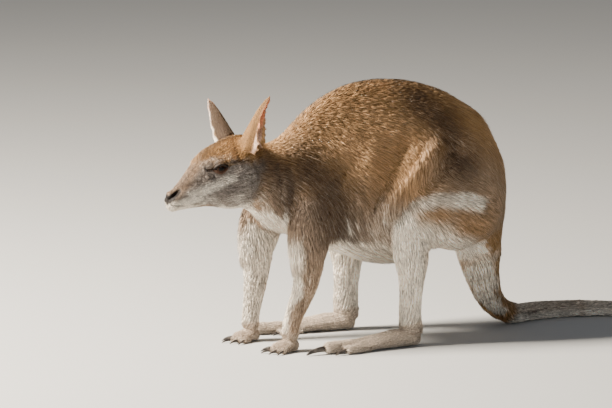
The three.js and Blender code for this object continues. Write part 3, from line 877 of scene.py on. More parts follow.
def lie_of_coat(net, points, normals, zones):
    """The way the hair points, at each point of the skin."""
    table = np.array([LIE[name] for name in ZONE_NAMES])
    lie = unit(table[zones])
    # The coat runs back from the nose over the head, and round the eyes.
    from_nose = unit(points - from_head([-356, 0, 222]))
    skull = is_zone(zones, "head", "muzzle", "nose")[:, None]
    lie = lie * (1 - skull) + from_nose * skull
    for side, y_sign in SIDES.items():
        _, axis, _ = ear_axes(side)
        mine = (is_zone(zones, "ear") * (points[:, 1] * y_sign > 0))[:, None]
        lie = lie * (1 - mine) + axis * mine
    # It hangs on the lower flank, follows the fold down to the knee and parts on the thigh's front.
    view = left_view(points, zones)
    mirror = np.where(points[:, 1] > 0, -1.0, 1.0)
    for path, width, way in LIE_TURNS:
        share = (TURN_STRENGTH * np.exp(-(path_distance(view, path) / width) ** 2))[:, None]
        steer = np.array(way, dtype=float) * np.stack([np.ones(len(view)), mirror, np.ones(len(view))], 1)
        lie = unit(lie * (1 - share) + unit(steer) * share)
    lie = tangent(lie, normals)
    for _ in range(LIE_ROUNDS):
        lie = net.spread(lie, 2, 0.8)
        lie = tangent(lie, normals)
    for side, y_sign in SIDES.items():
        mine = (is_zone(zones, "ear") * (points[:, 1] * y_sign > 0))[:, None]
        lie = tangent(lie * (1 - mine) + ear_axes(side)[1] * mine, normals)
    # Near the eyes the hair turns away from the open lids.
    head = to_head(points)
    for side in (1.0, -1.0):
        reach, _, ahead, above = eye_measures(head, side)
        rim = lid_gap(ahead, above)
        near = (reach < 20) * smooth_step(6.0, 1.5, rim) * 0.9
        _, forward, up = eye_axes(side)
        radial = ahead[:, None] * forward * 0.35 + above[:, None] * up
        radial = unit(from_head(radial) - from_head(np.zeros(3)) + 1e-9)
        lie = tangent(lie * (1 - near[:, None]) + radial * near[:, None], normals)
    return lie


def finish_skin(skin, atlas):
    """Keeps the markings, the lie and the size of the coat as attributes of the skin."""
    mesh = skin.data
    net = Net(mesh)
    points = mesh_points(mesh)
    normals = mesh_normals(mesh)
    zones, _ = atlas.look_up(points)
    for name, values in paint(net, points, normals, zones).items():
        store(mesh, name, values)
    lie = lie_of_coat(net, points, normals, zones)
    for axis, name in enumerate(("lie_x", "lie_y", "lie_z")):
        store(mesh, name, lie[:, axis])
    # Longer hair fringes the front of the forelegs and thighs, and hangs from the lower flank.
    fore = net.spread(is_zone(zones, "upper_arm", "forearm"), 6)
    hind = net.spread(is_zone(zones, "thigh", "shank"), 6)
    front = smooth_step(0.3, 0.9, normals @ unit(np.array([-0.95, 0.0, -0.3])))
    fringe = np.clip(front * (fore + 0.7 * hind), 0, 1)
    hanging = net.spread(is_zone(zones, "belly", "shoulders"), 8) * smooth_step(190, 140, points[:, 2])
    growth = {"depth": 1 + 0.8 * fringe, "length": 1 + 0.5 * fringe + 0.35 * hanging}
    on_ears = is_zone(zones, "ear") > 0
    for field in ("depth", "length", "width", "spacing"):
        values = of_zone(zones, field)
        blended = net.spread(values, 10) * growth.get(field, 1.0)
        store(mesh, "hair_" + field, np.where(on_ears, values, blended))
    head = to_head(points)
    short = np.ones(len(points))
    for side in (1.0, -1.0):
        reach, _, ahead, above = eye_measures(head, side)
        rim = lid_gap(ahead, above)
        short = np.minimum(short, np.where(reach < 20, 0.35 + 0.65 * smooth_step(1.0, 7.0, rim), 1))
    store(mesh, "short", short)
    store(mesh, "zone", zones.astype(float))
    store(mesh, "tone", np.clip(0.42 + 0.12 * streaks(points, lie, 3.2, 31), 0, 1))
    # The skin is coloured as a tuft is at this reach, so it takes part of the tufts' painted root shade.
    store(mesh, "reach", np.full(len(points), 0.42))


# ---- the coat ----
COAT_PIECES = {
    "coat_neck": ("coat_fawn", ("neck",)),
    "coat_shoulders": ("coat_fawn", ("shoulders",)),
    "coat_belly_left": ("coat_fawn", ("belly",)),
    "coat_belly_right": ("coat_fawn", ("belly",)),
    "coat_rump": ("coat_fawn", ("rump",)),
    "coat_thigh_left": ("coat_fawn", ("thigh",)),
    "coat_thigh_right": ("coat_fawn", ("thigh",)),
    "coat_head": ("coat_head", ("head",)),
    "coat_muzzle": ("coat_head", ("muzzle", "nose")),
    "coat_ears": ("coat_ear", ("ear",)),
    "coat_arms": ("coat_fawn", ("upper_arm", "forearm", "forepaw")),
    "coat_shanks": ("coat_pale", ("shank",)),
    "coat_feet": ("coat_pale", ("hind_foot",)),
    "coat_tail": ("coat_pale", ("tail_1", "tail_2", "tail_3", "tail_4")),
}
TUFT_POINTS = 5
TUFT_FACES = np.array([
    (0, 2, 1), (0, 3, 2), (0, 1, 3), (4, 1, 2), (4, 2, 3), (4, 3, 1),
])
# How far along the tuft, from root to tip, the colour takes each of its points to be.
TUFT_REACH = (0.0, 0.5, 0.5, 0.58, 1.0)
PATCH = 0.0015
TUFT_PATCH = np.array([(0, -PATCH), (-PATCH, 0), (PATCH, 0), (0, 0.2 * PATCH), (0, PATCH)])


def skin_arrays(skin):
    """The skin's triangles and all that the coat needs at its points."""
    mesh = skin.data
    mesh.calc_loop_triangles()
    corners = np.empty(len(mesh.loop_triangles) * 3, dtype=np.int32)
    mesh.loop_triangles.foreach_get("vertices", corners)
    data = {name: stored(mesh, name) for name in MARKS}
    for name in ("hair_depth", "hair_length", "hair_width", "hair_spacing", "short", "zone"):
        data[name] = stored(mesh, name)
    data["lie"] = np.stack([stored(mesh, name) for name in ("lie_x", "lie_y", "lie_z")], axis=1)
    data["points"] = mesh_points(mesh)
    data["normals"] = mesh_normals(mesh)
    data["corners"] = corners.reshape(-1, 3)
    return data


def unwrapped(name, points, corners):
    """Flat places of the corners of some skin faces, from an unwrap of their own shape."""
    used, index = np.unique(corners, return_inverse=True)
    faces = index.reshape(-1, 3)
    patch_piece = new_piece(name + "_unwrap", points[used] * MM, faces.tolist())
    mesh = patch_piece.data
    mesh.uv_layers.new(name="flat")
    activate(patch_piece)
    bpy.ops.object.mode_set(mode="EDIT")
    bpy.ops.mesh.select_all(action="SELECT")
    bpy.ops.uv.smart_project(angle_limit=math.radians(70), island_margin=0.004)
    bpy.ops.object.mode_set(mode="OBJECT")
    flat = np.empty(len(mesh.loops) * 2, dtype=np.float32)
    mesh.uv_layers["flat"].data.foreach_get("uv", flat)
    bpy.data.objects.remove(patch_piece)
    bpy.data.meshes.remove(mesh)
    return flat.reshape(-1, 3, 2)


def grow_piece(name, data, settings, seed):
    """Grows the tufts of one piece of the coat as a joined mesh."""
    rng = np.random.default_rng(seed)
    corners = data["corners"]
    zone = data["zone"][corners[:, 0]].round().astype(int)
    chosen = np.isin(zone, [ZONE_NAMES.index(z) for z in COAT_PIECES[name][1]])
    middle_y = data["points"][corners].mean(axis=1)[:, 1]
    if name.endswith("_left"):
        chosen &= middle_y <= 0
    elif name.endswith("_right"):
        chosen &= middle_y > 0
    corners = corners[chosen]
    flat = unwrapped(name, data["points"], corners)
    a, b, c = (data["points"][corners[:, k]] for k in range(3))
    cross = np.cross(b - a, c - a)
    area = np.linalg.norm(cross, axis=1) / 2
    down = unit(cross)[:, 2]
    low = (a[:, 2] + b[:, 2] + c[:, 2]) / 3
    keep = 1 - np.clip(data["bare"][corners].mean(axis=1) * 1.6 - 0.3, 0, 1)
    keep *= 1 - 0.75 * data["pink"][corners].mean(axis=1)
    keep[(down < -0.6) & (low < 3.0)] = 0
    spacing = np.maximum(data["hair_spacing"][corners].mean(axis=1), 0.7)
    total = np.cumsum(area * keep / spacing ** 2 * settings.density)
    count = min(int(total[-1]), settings.most_tufts)
    picks = (np.arange(count) + rng.random(count)) / count * total[-1]
    face = np.minimum(np.searchsorted(total, picks), len(corners) - 1)
    u, v = rng.random(count), rng.random(count)
    flip = u + v > 1
    u[flip], v[flip] = 1 - u[flip], 1 - v[flip]
    share = np.stack([1 - u - v, u, v], axis=1)
    ends = corners[face]

    def mixed(values):
        if values.ndim == 1:
            return np.einsum("ij,ij->i", values[ends], share)
        return np.einsum("ijk,ij->ik", values[ends], share)

    root = mixed(data["points"])
    normal = unit(mixed(data["normals"]))
    lie = tangent(mixed(data["lie"]), normal)
    length = mixed(data["hair_length"]) * mixed(data["short"])
    depth = mixed(data["hair_depth"]) * mixed(data["short"])
    width = mixed(data["hair_width"])
    place = np.einsum("ijk,ij->ik", flat[face], share)

    # Neighbouring tufts gather into locks.
    locks = max(count // settings.tufts_a_lock, 1)
    heads = rng.choice(count, locks, replace=False)
    tree = KDTree(locks)
    for number, point in enumerate(root[heads]):
        tree.insert(point, number)
    tree.balance()
    mine = np.array([tree.find(point)[1] for point in root])
    lock_turn = rng.normal(0, 0.04, locks)[mine]
    lock_lift = rng.normal(0, 0.06, locks)[mine]
    gather = np.interp(length.mean(), (3.0, 8.0), (0.15, 1.0))
    lock_pull = (settings.lock_pull * gather * rng.uniform(0.5, 1.3, locks))[mine]
    lock_length = rng.uniform(0.85, 1.15, locks)[mine]

    bend = 0.10 * waves(root, 70, 11) + 0.06 * waves(root, 24, 12) + lock_turn + rng.normal(0, 0.05, count)
    straight = lie
    side = np.cross(normal, lie)
    lie = lie * np.cos(bend)[:, None] + side * np.sin(bend)[:, None]
    side = np.cross(normal, lie)
    length = length * lock_length * rng.uniform(0.75, 1.2, count)
    streak_width = np.interp(length.mean(), (3.0, 8.0, 16.0), (0.8, 0.95, 1.05))
    streak = streaks(root + lie * (0.8 * length)[:, None], straight, streak_width, 31)
    lift = np.clip(0.85 + lock_lift + rng.normal(0, 0.14, count) + 0.10 * streak, 0.35, 1.35)
    to_lock = root[heads][mine] - root
    drift = side * np.einsum("ij,ij->i", to_lock, side)[:, None] * lock_pull[:, None]
    base = root - normal * (0.3 + 0.05 * depth)[:, None]
    middle = root + lie * (0.42 * length)[:, None] + normal * (0.72 * depth * lift)[:, None] + drift * 0.45
    tip = root + lie * length[:, None] + normal * (0.98 * depth * lift)[:, None] + drift
    half = (width * rng.uniform(0.75, 1.25, count) / 2)[:, None]
    points = np.stack([
        base, middle + side * half - normal * half * 0.25, middle - side * half - normal * half * 0.25,
        middle + normal * half * 0.7, tip,
    ], axis=1)
    points[:, :, 2] = np.maximum(points[:, :, 2], 0.15 + 0.1 * rng.random((count, 1)))

    mesh = bpy.data.meshes.new(name)
    mesh.vertices.add(count * TUFT_POINTS)
    mesh.loops.add(count * TUFT_FACES.size)
    mesh.polygons.add(count * len(TUFT_FACES))
    index = (np.arange(count)[:, None, None] * TUFT_POINTS + TUFT_FACES[None]).astype(np.int32)
    mesh.loops.foreach_set("vertex_index", index.ravel())
    mesh.polygons.foreach_set("loop_start", np.arange(0, count * TUFT_FACES.size, 3, dtype=np.int32))
    mesh.polygons.foreach_set("use_smooth", np.ones(count * len(TUFT_FACES), dtype=bool))
    set_points(mesh, points.reshape(-1, 3))
    mesh.update(calc_edges=True)
    uv = mesh.uv_layers.new(name="OFBake")
    flat_points = (place[:, None, :] + TUFT_PATCH[None])[:, TUFT_FACES]
    uv.data.foreach_set("uv", flat_points.astype(np.float32).ravel())
    for mark in MARKS:
        store(mesh, mark, np.repeat(mixed(data[mark]), TUFT_POINTS))
    contrast = np.interp(length.mean(), (3.0, 8.0), (0.07, 0.13))
    tone = np.clip(0.5 + contrast * streak + rng.normal(0, 0.10, count), 0, 1)
    store(mesh, "tone", np.repeat(tone, TUFT_POINTS))
    store(mesh, "reach", np.tile(TUFT_REACH, count))
    piece = bpy.data.objects.new(name, mesh)
    bpy.context.scene.collection.objects.link(piece)
    return piece


# ---- materials ----
def add_node(tree, kind, inputs=None, **settings):
    """A node with its settings made and its inputs linked or filled."""
    node = tree.nodes.new(kind)
    for key, value in settings.items():
        setattr(node, key, value)
    for key, value in (inputs or {}).items():
        socket = node.inputs[key]
        if isinstance(value, bpy.types.NodeSocket):
            tree.links.new(value, socket)
        else:
            socket.default_value = value
    return node


def mix_colour(tree, factor, first, second, mode="MIX"):
    """Output of a colour mix."""
    inputs = {0: factor, 6: first, 7: second}
    node = add_node(tree, "ShaderNodeMix", inputs, data_type="RGBA", blend_type=mode)
    return node.outputs[2]


def sums(tree, operation, first, second, clamp=False):
    """Output of a Math node."""
    node = add_node(tree, "ShaderNodeMath", {0: first, 1: second}, operation=operation, use_clamp=clamp)
    return node.outputs[0]


def ramp(tree, value, low, high, to_low=0.0, to_high=1.0):
    """Output of a soft Map Range node."""
    return add_node(tree, "ShaderNodeMapRange", {
        "Value": value, "From Min": low, "From Max": high, "To Min": to_low, "To Max": to_high,
    }, interpolation_type="SMOOTHSTEP").outputs["Result"]


def attribute(tree, name):
    """Output of one attribute of the mesh."""
    return add_node(tree, "ShaderNodeAttribute", attribute_name=name).outputs["Fac"]


def rgba(colour):
    """A colour with full alpha."""
    return (*colour, 1.0)


COAT_COLOURS = ("fawn", "pale", "dark", "ginger", "grey", "pink", "bare")


def coat_colour_group(colours):
    """Colour of the coat from its markings, the tone of a tuft and how far along the tuft, with painted
    shade at the roots of the tufts.
    """
    group = bpy.data.node_groups.new("coat colour", "ShaderNodeTree")
    face = group.interface
    for name in COAT_COLOURS:
        label = name.capitalize() + " colour"
        socket = face.new_socket(label, in_out="INPUT", socket_type="NodeSocketColor")
        socket.default_value = rgba(getattr(colours, name))
    for name in (*MARKS, "tone", "reach"):
        face.new_socket(name.capitalize(), in_out="INPUT", socket_type="NodeSocketFloat")
    face.new_socket("Colour", in_out="OUTPUT", socket_type="NodeSocketColor")
    enter = group.nodes.new("NodeGroupInput").outputs
    leave = group.nodes.new("NodeGroupOutput").inputs
    place = add_node(group, "ShaderNodeTexCoord").outputs["Object"]
    broad = add_node(group, "ShaderNodeTexNoise", {"Vector": place, "Scale": 28.0, "Detail": 3.0})
    fine = add_node(group, "ShaderNodeTexNoise", {"Vector": place, "Scale": 420.0, "Detail": 2.0})
    speck = sums(group, "SUBTRACT", fine.outputs["Fac"], 0.5)
    jitter = sums(group, "ADD", sums(group, "MULTIPLY", speck, 0.30),
                  sums(group, "MULTIPLY", sums(group, "SUBTRACT", enter["Tone"], 0.5), 0.42))

    def ragged(name, low, high):
        return ramp(group, sums(group, "ADD", enter[name], jitter), low, high)

    broad_shift = sums(group, "SUBTRACT", broad.outputs["Fac"], 0.5)
    gingery = ramp(group, enter["Ginger"], 0.0, 1.0)
    colour = mix_colour(group, gingery, enter["Fawn colour"], enter["Ginger colour"])
    colour = mix_colour(group, enter["Grey"], colour, enter["Grey colour"])
    # Ticking: the tufts of darker tone end in dark tips.
    near_tip = ramp(group, enter["Reach"], 0.55, 1.0)
    ticking = sums(group, "MULTIPLY", near_tip, ramp(group, enter["Tone"], 0.52, 0.25))
    colour = mix_colour(group, sums(group, "MULTIPLY", ticking, 0.55), colour, enter["Dark colour"])
    colour = mix_colour(group, sums(group, "MULTIPLY", enter["Dark"], 0.9), colour, enter["Dark colour"])
    colour = mix_colour(group, ragged("Pale", 0.02, 0.98), colour, enter["Pale colour"])
    colour = mix_colour(group, enter["Pink"], colour, enter["Pink colour"])
    # Painted shade: each tuft darkens towards its root, where the coat shadows itself.
    root_self_shadow = ramp(group, enter["Reach"], 0.0, 0.6, 0.62, 1.06)
    tone_shade = ramp(group, enter["Tone"], 0.0, 1.0, 0.45, 1.70)
    patch_shade = sums(group, "ADD", sums(group, "MULTIPLY", broad_shift, 0.5), 1.0)
    shade = sums(group, "MULTIPLY", sums(group, "MULTIPLY", root_self_shadow, tone_shade), patch_shade)
    shaded = add_node(group, "ShaderNodeVectorMath", {0: colour, "Scale": shade}, operation="SCALE")
    final = mix_colour(group, enter["Bare"], shaded.outputs[0], enter["Bare colour"])
    group.links.new(final, leave["Colour"])
    return group


def use_coat_colour(tree, group):
    """Places the coat colour group in a material, fed by the mesh's attributes."""
    node = add_node(tree, "ShaderNodeGroup", node_tree=group)
    for name in (*MARKS, "tone", "reach"):
        tree.links.new(attribute(tree, name), node.inputs[name.capitalize()])
    return node.outputs["Colour"]


def new_material(name):
    """A material with its Principled shader."""
    material = bpy.data.materials.new(name)
    material.use_nodes = True
    return material, material.node_tree, material.node_tree.nodes["Principled BSDF"]


def tuft_material(group):
    """Hair: soft sheen, no bump, the colour of the markings."""
    material, tree, shader = new_material("coat hair")
    tree.links.new(use_coat_colour(tree, group), shader.inputs["Base Color"])
    shader.inputs["Roughness"].default_value = 0.6
    shader.inputs["Specular IOR Level"].default_value = 0.28
    shader.inputs["Sheen Weight"].default_value = 0.08
    shader.inputs["Sheen Roughness"].default_value = 0.45
    return material


def skin_material(group):
    """Short hair over skin, and the bare skin of the nose, lids and ears."""
    material, tree, shader = new_material("hide")
    tree.links.new(use_coat_colour(tree, group), shader.inputs["Base Color"])
    place = add_node(tree, "ShaderNodeTexCoord").outputs["Object"]
    nap = add_node(tree, "ShaderNodeTexNoise", {"Vector": place, "Scale": 900.0, "Detail": 4.0})
    pebble = add_node(tree, "ShaderNodeTexVoronoi", {"Vector": place, "Scale": 1100.0}, feature="SMOOTH_F1")
    bare = attribute(tree, "bare")
    height = add_node(tree, "ShaderNodeMix", {
        0: bare, 2: nap.outputs["Fac"], 3: pebble.outputs["Distance"],
    }, data_type="FLOAT").outputs[0]
    bump = add_node(tree, "ShaderNodeBump", {"Height": height, "Strength": 0.5, "Distance": 0.0006})
    tree.links.new(bump.outputs["Normal"], shader.inputs["Normal"])
    tree.links.new(ramp(tree, bare, 0.0, 1.0, 0.70, 0.58), shader.inputs["Roughness"])
    shader.inputs["Specular IOR Level"].default_value = 0.15
    return material


def eye_material(colours):
    """Dark iris round an oval pupil, under a wet cornea."""
    material, tree, shader = new_material("eye")
    ring, slot = attribute(tree, "ring"), attribute(tree, "pupil")
    place = add_node(tree, "ShaderNodeTexCoord").outputs["Object"]
    fibre = add_node(tree, "ShaderNodeTexNoise", {"Vector": place, "Scale": 1500.0, "Detail": 3.0})
    streaked = ramp(tree, fibre.outputs["Fac"], 0.35, 0.7)
    iris = mix_colour(tree, streaked, rgba(colours.iris), rgba(colours.iris_pale))
    shaded = mix_colour(tree, ramp(tree, ring, 0.50, 0.64), iris, rgba(colours.eye_edge))
    final = mix_colour(tree, ramp(tree, slot, 0.92, 1.08), (0.004, 0.004, 0.005, 1.0), shaded)
    tree.links.new(final, shader.inputs["Base Color"])
    shader.inputs["Roughness"].default_value = 0.2
    shader.inputs["Specular IOR Level"].default_value = 0.05
    shader.inputs["Coat Weight"].default_value = 0.15
    shader.inputs["Coat Roughness"].default_value = 0.03
    return material


def horn_material(colours):
    """Dark horn, worn paler in cloudy places, with fine lengthwise growth lines."""
    material, tree, shader = new_material("horn")
    place = add_node(tree, "ShaderNodeTexCoord").outputs["Object"]
    along_claw = add_node(tree, "ShaderNodeMapping", {"Vector": place, "Scale": (0.12, 1.0, 1.0)})
    lines = add_node(tree, "ShaderNodeTexNoise", {
        "Vector": along_claw.outputs[0], "Scale": 900.0, "Detail": 3.0,
    })
    cloud = add_node(tree, "ShaderNodeTexNoise", {"Vector": place, "Scale": 160.0, "Detail": 2.0})
    worn = ramp(tree, cloud.outputs["Fac"], 0.35, 0.7)
    base = mix_colour(tree, worn, rgba(colours.horn), rgba(colours.horn_pale))
    final = mix_colour(tree, sums(tree, "MULTIPLY", lines.outputs["Fac"], 0.35), base, rgba(colours.horn))
    tree.links.new(final, shader.inputs["Base Color"])
    bump = add_node(tree, "ShaderNodeBump", {
        "Height": lines.outputs["Fac"], "Strength": 0.35, "Distance": 0.0004,
    })
    tree.links.new(bump.outputs["Normal"], shader.inputs["Normal"])
    shader.inputs["Roughness"].default_value = 0.38
    return material


def floor_material(colours):
    """Pale matt studio floor with a faint cloudiness."""
    material, tree, shader = new_material("studio floor")
    place = add_node(tree, "ShaderNodeTexCoord").outputs["Object"]
    cloud = add_node(tree, "ShaderNodeTexNoise", {"Vector": place, "Scale": 1.5, "Detail": 2.0})
    soft = tuple(channel * 0.96 for channel in colours.floor)
    clouded = mix_colour(tree, cloud.outputs["Fac"], rgba(colours.floor), rgba(soft))
    tree.links.new(clouded, shader.inputs["Base Color"])
    shader.inputs["Roughness"].default_value = 0.85
    return material


# ---- settings ----
def colour_setting(name, description, default):
    """A colour that a user may change."""
    return FloatVectorProperty(name=name, description=description, default=default, size=3,
                               subtype="COLOR", min=0.0, max=1.0)


class WallabySkinSettings(bpy.types.PropertyGroup):
    """Size of the faces of the skin."""
    voxel: FloatProperty(name="Voxel", description="Size of the faces that melt the solids into one skin",
                         default=0.002, min=0.001, max=0.006, unit="LENGTH")
    torso_share: FloatProperty(name="Torso share", description="Share of the torso's faces that is kept",
                               default=0.22, min=0.05, max=1.0, subtype="FACTOR")
    head_share: FloatProperty(name="Head share",
                              description="Share of the faces of the furred head that is kept",
                              default=0.40, min=0.05, max=1.0, subtype="FACTOR")
    limb_share: FloatProperty(name="Limb share",
                              description="Share of the faces of legs and tail that is kept",
                              default=0.5, min=0.05, max=1.0, subtype="FACTOR")


class WallabyCoatSettings(bpy.types.PropertyGroup):
    """Density and grouping of the tufts."""
    density: FloatProperty(name="Density", description="Tufts as a share of the usual number",
                           default=1.5, min=0.1, max=2.0)
    most_tufts: IntProperty(name="Most tufts", description="Most tufts in one piece of the coat",
                            default=33000, min=100, max=33000)
    tufts_a_lock: IntProperty(name="Tufts a lock", description="How many tufts lean together in one lock",
                              default=5, min=1, max=60)
    lock_pull: FloatProperty(name="Lock pull", description="How far the tips of a lock lean together",
                             default=0.24, min=0.0, max=1.0, subtype="FACTOR")
    seed: IntProperty(name="Seed", description="Number that the scatter of the tufts starts from",
                      default=100, min=0)


class WallabyColours(bpy.types.PropertyGroup):
    """Colours of the coat, the bare skin, the eyes, the claws and the floor."""
    fawn: colour_setting("Fawn", "Back and flanks", (0.430, 0.252, 0.116))
    pale: colour_setting("Pale", "Belly, lips and hip stripe", (0.84, 0.77, 0.67))
    dark: colour_setting("Dark", "Shoulder, muzzle stripe and rims", (0.058, 0.038, 0.027))
    ginger: colour_setting("Ginger", "Crown and forehead", (0.335, 0.182, 0.066))
    grey: colour_setting("Grey", "Cheeks and lower legs", (0.245, 0.218, 0.200))
    pink: colour_setting("Pink", "Inside of the ears", (0.74, 0.25, 0.12))
    bare: colour_setting("Bare", "Nose pad and rims of the lids", (0.016, 0.013, 0.012))
    iris: colour_setting("Iris", "Darker part of the iris", (0.016, 0.008, 0.005))
    iris_pale: colour_setting("Iris light", "Lighter part of the iris", (0.050, 0.024, 0.012))
    eye_edge: colour_setting("Eye edge", "White of the eye, which is dark in this animal",
                             (0.012, 0.009, 0.008))
    horn: colour_setting("Horn", "Claws", (0.025, 0.020, 0.018))
    horn_pale: colour_setting("Horn light", "Worn parts of the claws", (0.120, 0.100, 0.085))
    floor: colour_setting("Floor", "Studio floor", (0.55, 0.55, 0.54))


class WallabyEyeSettings(bpy.types.PropertyGroup):
    """How far the corneas stand out, and the size of the pupils."""
    cornea: FloatProperty(name="Cornea", description="How far the cornea stands out of the ball",
                          default=0.0007, min=0.0, max=0.002, unit="LENGTH")
    pupil_width: FloatProperty(name="Pupil width", description="Half width of the pupil as an angle",
                               default=math.radians(23), min=0.1, max=0.8, subtype="ANGLE")
    pupil_height: FloatProperty(name="Pupil height", description="Half height of the pupil as an angle",
                                default=math.radians(14), min=0.1, max=0.8, subtype="ANGLE")


class WallabyStageSettings(bpy.types.PropertyGroup):
    """Camera, lights and floor."""
    target: FloatVectorProperty(name="Target", description="Place that the camera looks at",
                                default=(-0.2332, 0.0615, 0.1985), size=3, subtype="TRANSLATION",
                                unit="LENGTH")
    azimuth: FloatProperty(name="Azimuth", description="Turn of the camera round the model",
                           default=math.radians(-24), subtype="ANGLE")
    elevation: FloatProperty(name="Elevation", description="Height of the camera as an angle",
                             default=math.radians(9), subtype="ANGLE")
    distance: FloatProperty(name="Distance", description="Distance of the camera",
                            default=7.0, unit="LENGTH")
    lens: FloatProperty(name="Lens", description="Focal length", default=294.0, unit="CAMERA")
    key: FloatProperty(name="Key light", description="Power of the main light", default=740.0, unit="POWER")
    fill: FloatProperty(name="Fill light", description="Power of the fill light",
                        default=24.0, unit="POWER")
    world: FloatProperty(name="Surroundings", description="Strength of the light from all round",
                         default=0.31)


SETTINGS = {
    "wallaby_skin": WallabySkinSettings,
    "wallaby_coat": WallabyCoatSettings,
    "wallaby_colours": WallabyColours,
    "wallaby_eyes": WallabyEyeSettings,
    "wallaby_stage": WallabyStageSettings,
}


def coat_group(colours):
    """The one coat colour group, made when it is first asked for."""
    return bpy.data.node_groups.get("coat colour") or coat_colour_group(colours)


# ---- operators ----
class WALLABY_OT_skin(bpy.types.Operator):
    """One closed skin over the flesh, with folds, lids, nostrils and mouth, and the coat's markings"""
    bl_idname = "wallaby.skin"
    bl_label = "Skin"

    def execute(self, context):
        scene = context.scene
        skin, atlas = build_skin(scene.wallaby_skin)
        finish_skin(skin, atlas)
        skin.data.materials.append(skin_material(coat_group(scene.wallaby_colours)))
        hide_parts(*FLESH)
        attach(skin, "root")
        return {"FINISHED"}


class WALLABY_OT_coat(bpy.types.Operator):
    """Tufts of hair over the whole skin, in pieces that follow the lie of the coat"""
    bl_idname = "wallaby.coat"
    bl_label = "Coat"

    def execute(self, context):
        scene = context.scene
        settings = scene.wallaby_coat
        hair = tuft_material(coat_group(scene.wallaby_colours))
        data = skin_arrays(bpy.data.objects["skin"])
        for number, (name, (slot, _)) in enumerate(COAT_PIECES.items()):
            piece = grow_piece(name, data, settings, settings.seed + number)
            piece.data.materials.append(hair)
            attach(piece, "root")
        return {"FINISHED"}


def gaze(side):
    """Axes of an eye on the body (out, towards the nose, up) and the eye's centre in metres."""
    outward, forward, up = (unit(axis @ HEAD_AXES.T) for axis in eye_axes(side))
    centre = from_head([EYE_CENTRE[0], EYE_CENTRE[1] * side, EYE_CENTRE[2]])
    return outward, forward, up, (centre + BODY_ORIGIN) * MM


class WALLABY_OT_eyes(bpy.types.Operator):
    """Eyeballs with a standing cornea, seated behind the lids"""
    bl_idname = "wallaby.eyes"
    bl_label = "Eyes"

    def execute(self, context):
        settings = context.scene.wallaby_eyes
        material = eye_material(context.scene.wallaby_colours)
        for name, side in (("left", 1.0), ("right", -1.0)):
            deselect()
            bpy.ops.mesh.primitive_uv_sphere_add(segments=72, ring_count=48, radius=EYE_RADIUS * MM)
            ball = context.object
            ball.name = ball.data.name = "eyeball_" + name
            flat = np.empty(len(ball.data.vertices) * 3)
            ball.data.vertices.foreach_get("co", flat)
            local = unit(flat.reshape(-1, 3))
            outward, forward, up, centre = gaze(side)
            angle = np.arccos(np.clip(local[:, 2], -1, 1))
            reach = EYE_RADIUS * MM + settings.cornea * (1 - smooth_step(0.25, 0.80, angle))
            placed = local[:, 2:3] * outward + local[:, 0:1] * forward + local[:, 1:2] * up
            placed = placed * reach[:, None] + centre
            ball.data.vertices.foreach_set("co", placed.ravel())
            wide = np.arctan2(local[:, 0], local[:, 2]) / settings.pupil_width
            high = np.arctan2(local[:, 1], local[:, 2]) / settings.pupil_height
            store(ball.data, "pupil", np.hypot(wide, high))
            store(ball.data, "ring", angle)
            ball.data.update()
            activate(ball)
            bpy.ops.object.mode_set(mode="EDIT")
            bpy.ops.mesh.select_all(action="SELECT")
            bpy.ops.mesh.normals_make_consistent(inside=False)
            bpy.ops.object.mode_set(mode="OBJECT")
            bpy.ops.object.shade_smooth()
            ball.data.materials.append(material)
            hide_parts("eye_" + name)
            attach(ball, "root")
        return {"FINISHED"}


CLAW_ROUNDING = 2
# The skin lies inside the toes and rounding draws a claw's base back, so each base is drawn on
# into the toe.
CLAW_ROOT = 4.5 * MM
CLAW_BASE = (6.0 * MM, 1.5 * MM)


def rooted(points, hide):
    """The points of one claw, in metres, with its base drawn on into the toe."""
    points = np.array(points)
    found = [hide.find_nearest(Vector(point)) for point in points]
    gaps = np.array([hit[3] for hit in found])
    toe = np.array([found[k][0] for k in np.flatnonzero(gaps <= gaps.min() + 1.5 * MM)]).mean(axis=0)
    share = smooth_step(*CLAW_BASE, gaps)
    return points + share[:, None] * unit(toe - points.mean(axis=0)) * CLAW_ROOT


class WALLABY_OT_claws(bpy.types.Operator):
    """The claws of each foot, rounded from the solids"""
    bl_idname = "wallaby.claws"
    bl_label = "Claws"

    def execute(self, context):
        material = horn_material(context.scene.wallaby_colours)
        hide = BVHTree.FromObject(bpy.data.objects["skin"], context.evaluated_depsgraph_get())
        for kind in ("forepaw_claw", "hind_claw"):
            for side in SIDES:
                nodes = [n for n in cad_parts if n.startswith(kind) and n.endswith("_" + side)]
                if not nodes:
                    raise RuntimeError(f"no claws named {kind} on the {side}")
                points, faces = [], []
                for node in nodes:
                    own_points, own_faces, _ = merged_copy([node])
                    faces += [[k + len(points) for k in face] for face in own_faces]
                    points += list(rooted(own_points, hide))
                claws = new_piece(f"{kind}s_{side}", points, faces)
                activate(claws)
                rounder = claws.modifiers.new("rounder", "SUBSURF")
                rounder.levels = rounder.render_levels = CLAW_ROUNDING
                bpy.ops.object.modifier_apply(modifier=rounder.name)
                bpy.ops.object.shade_smooth()
                claws.data.materials.append(material)
                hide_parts(*nodes)
                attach(claws, "root")
        return {"FINISHED"}


def aimed(lamp, place, target):
    """Puts a light or camera at a place, looking at a target."""
    lamp.location = place
    lamp.rotation_euler = (Vector(target) - Vector(place)).to_track_quat("-Z", "Y").to_euler()


LIT_PLACE = (-0.1, 0.06, 0.2)
SENSOR_WIDTH = 36
FLOOR_SIZE = 14
Lamp = namedtuple("Lamp", "place size colour")
LAMPS = {
    "key": Lamp((-2.35, 0.5, 1.95), 0.7, (1.0, 0.91, 0.78)),
    "fill": Lamp((-0.9, -3.1, 0.75), 0.4, (0.86, 0.93, 1.0)),
}
SKY_COLOUR = (0.90, 0.94, 1.0, 1.0)


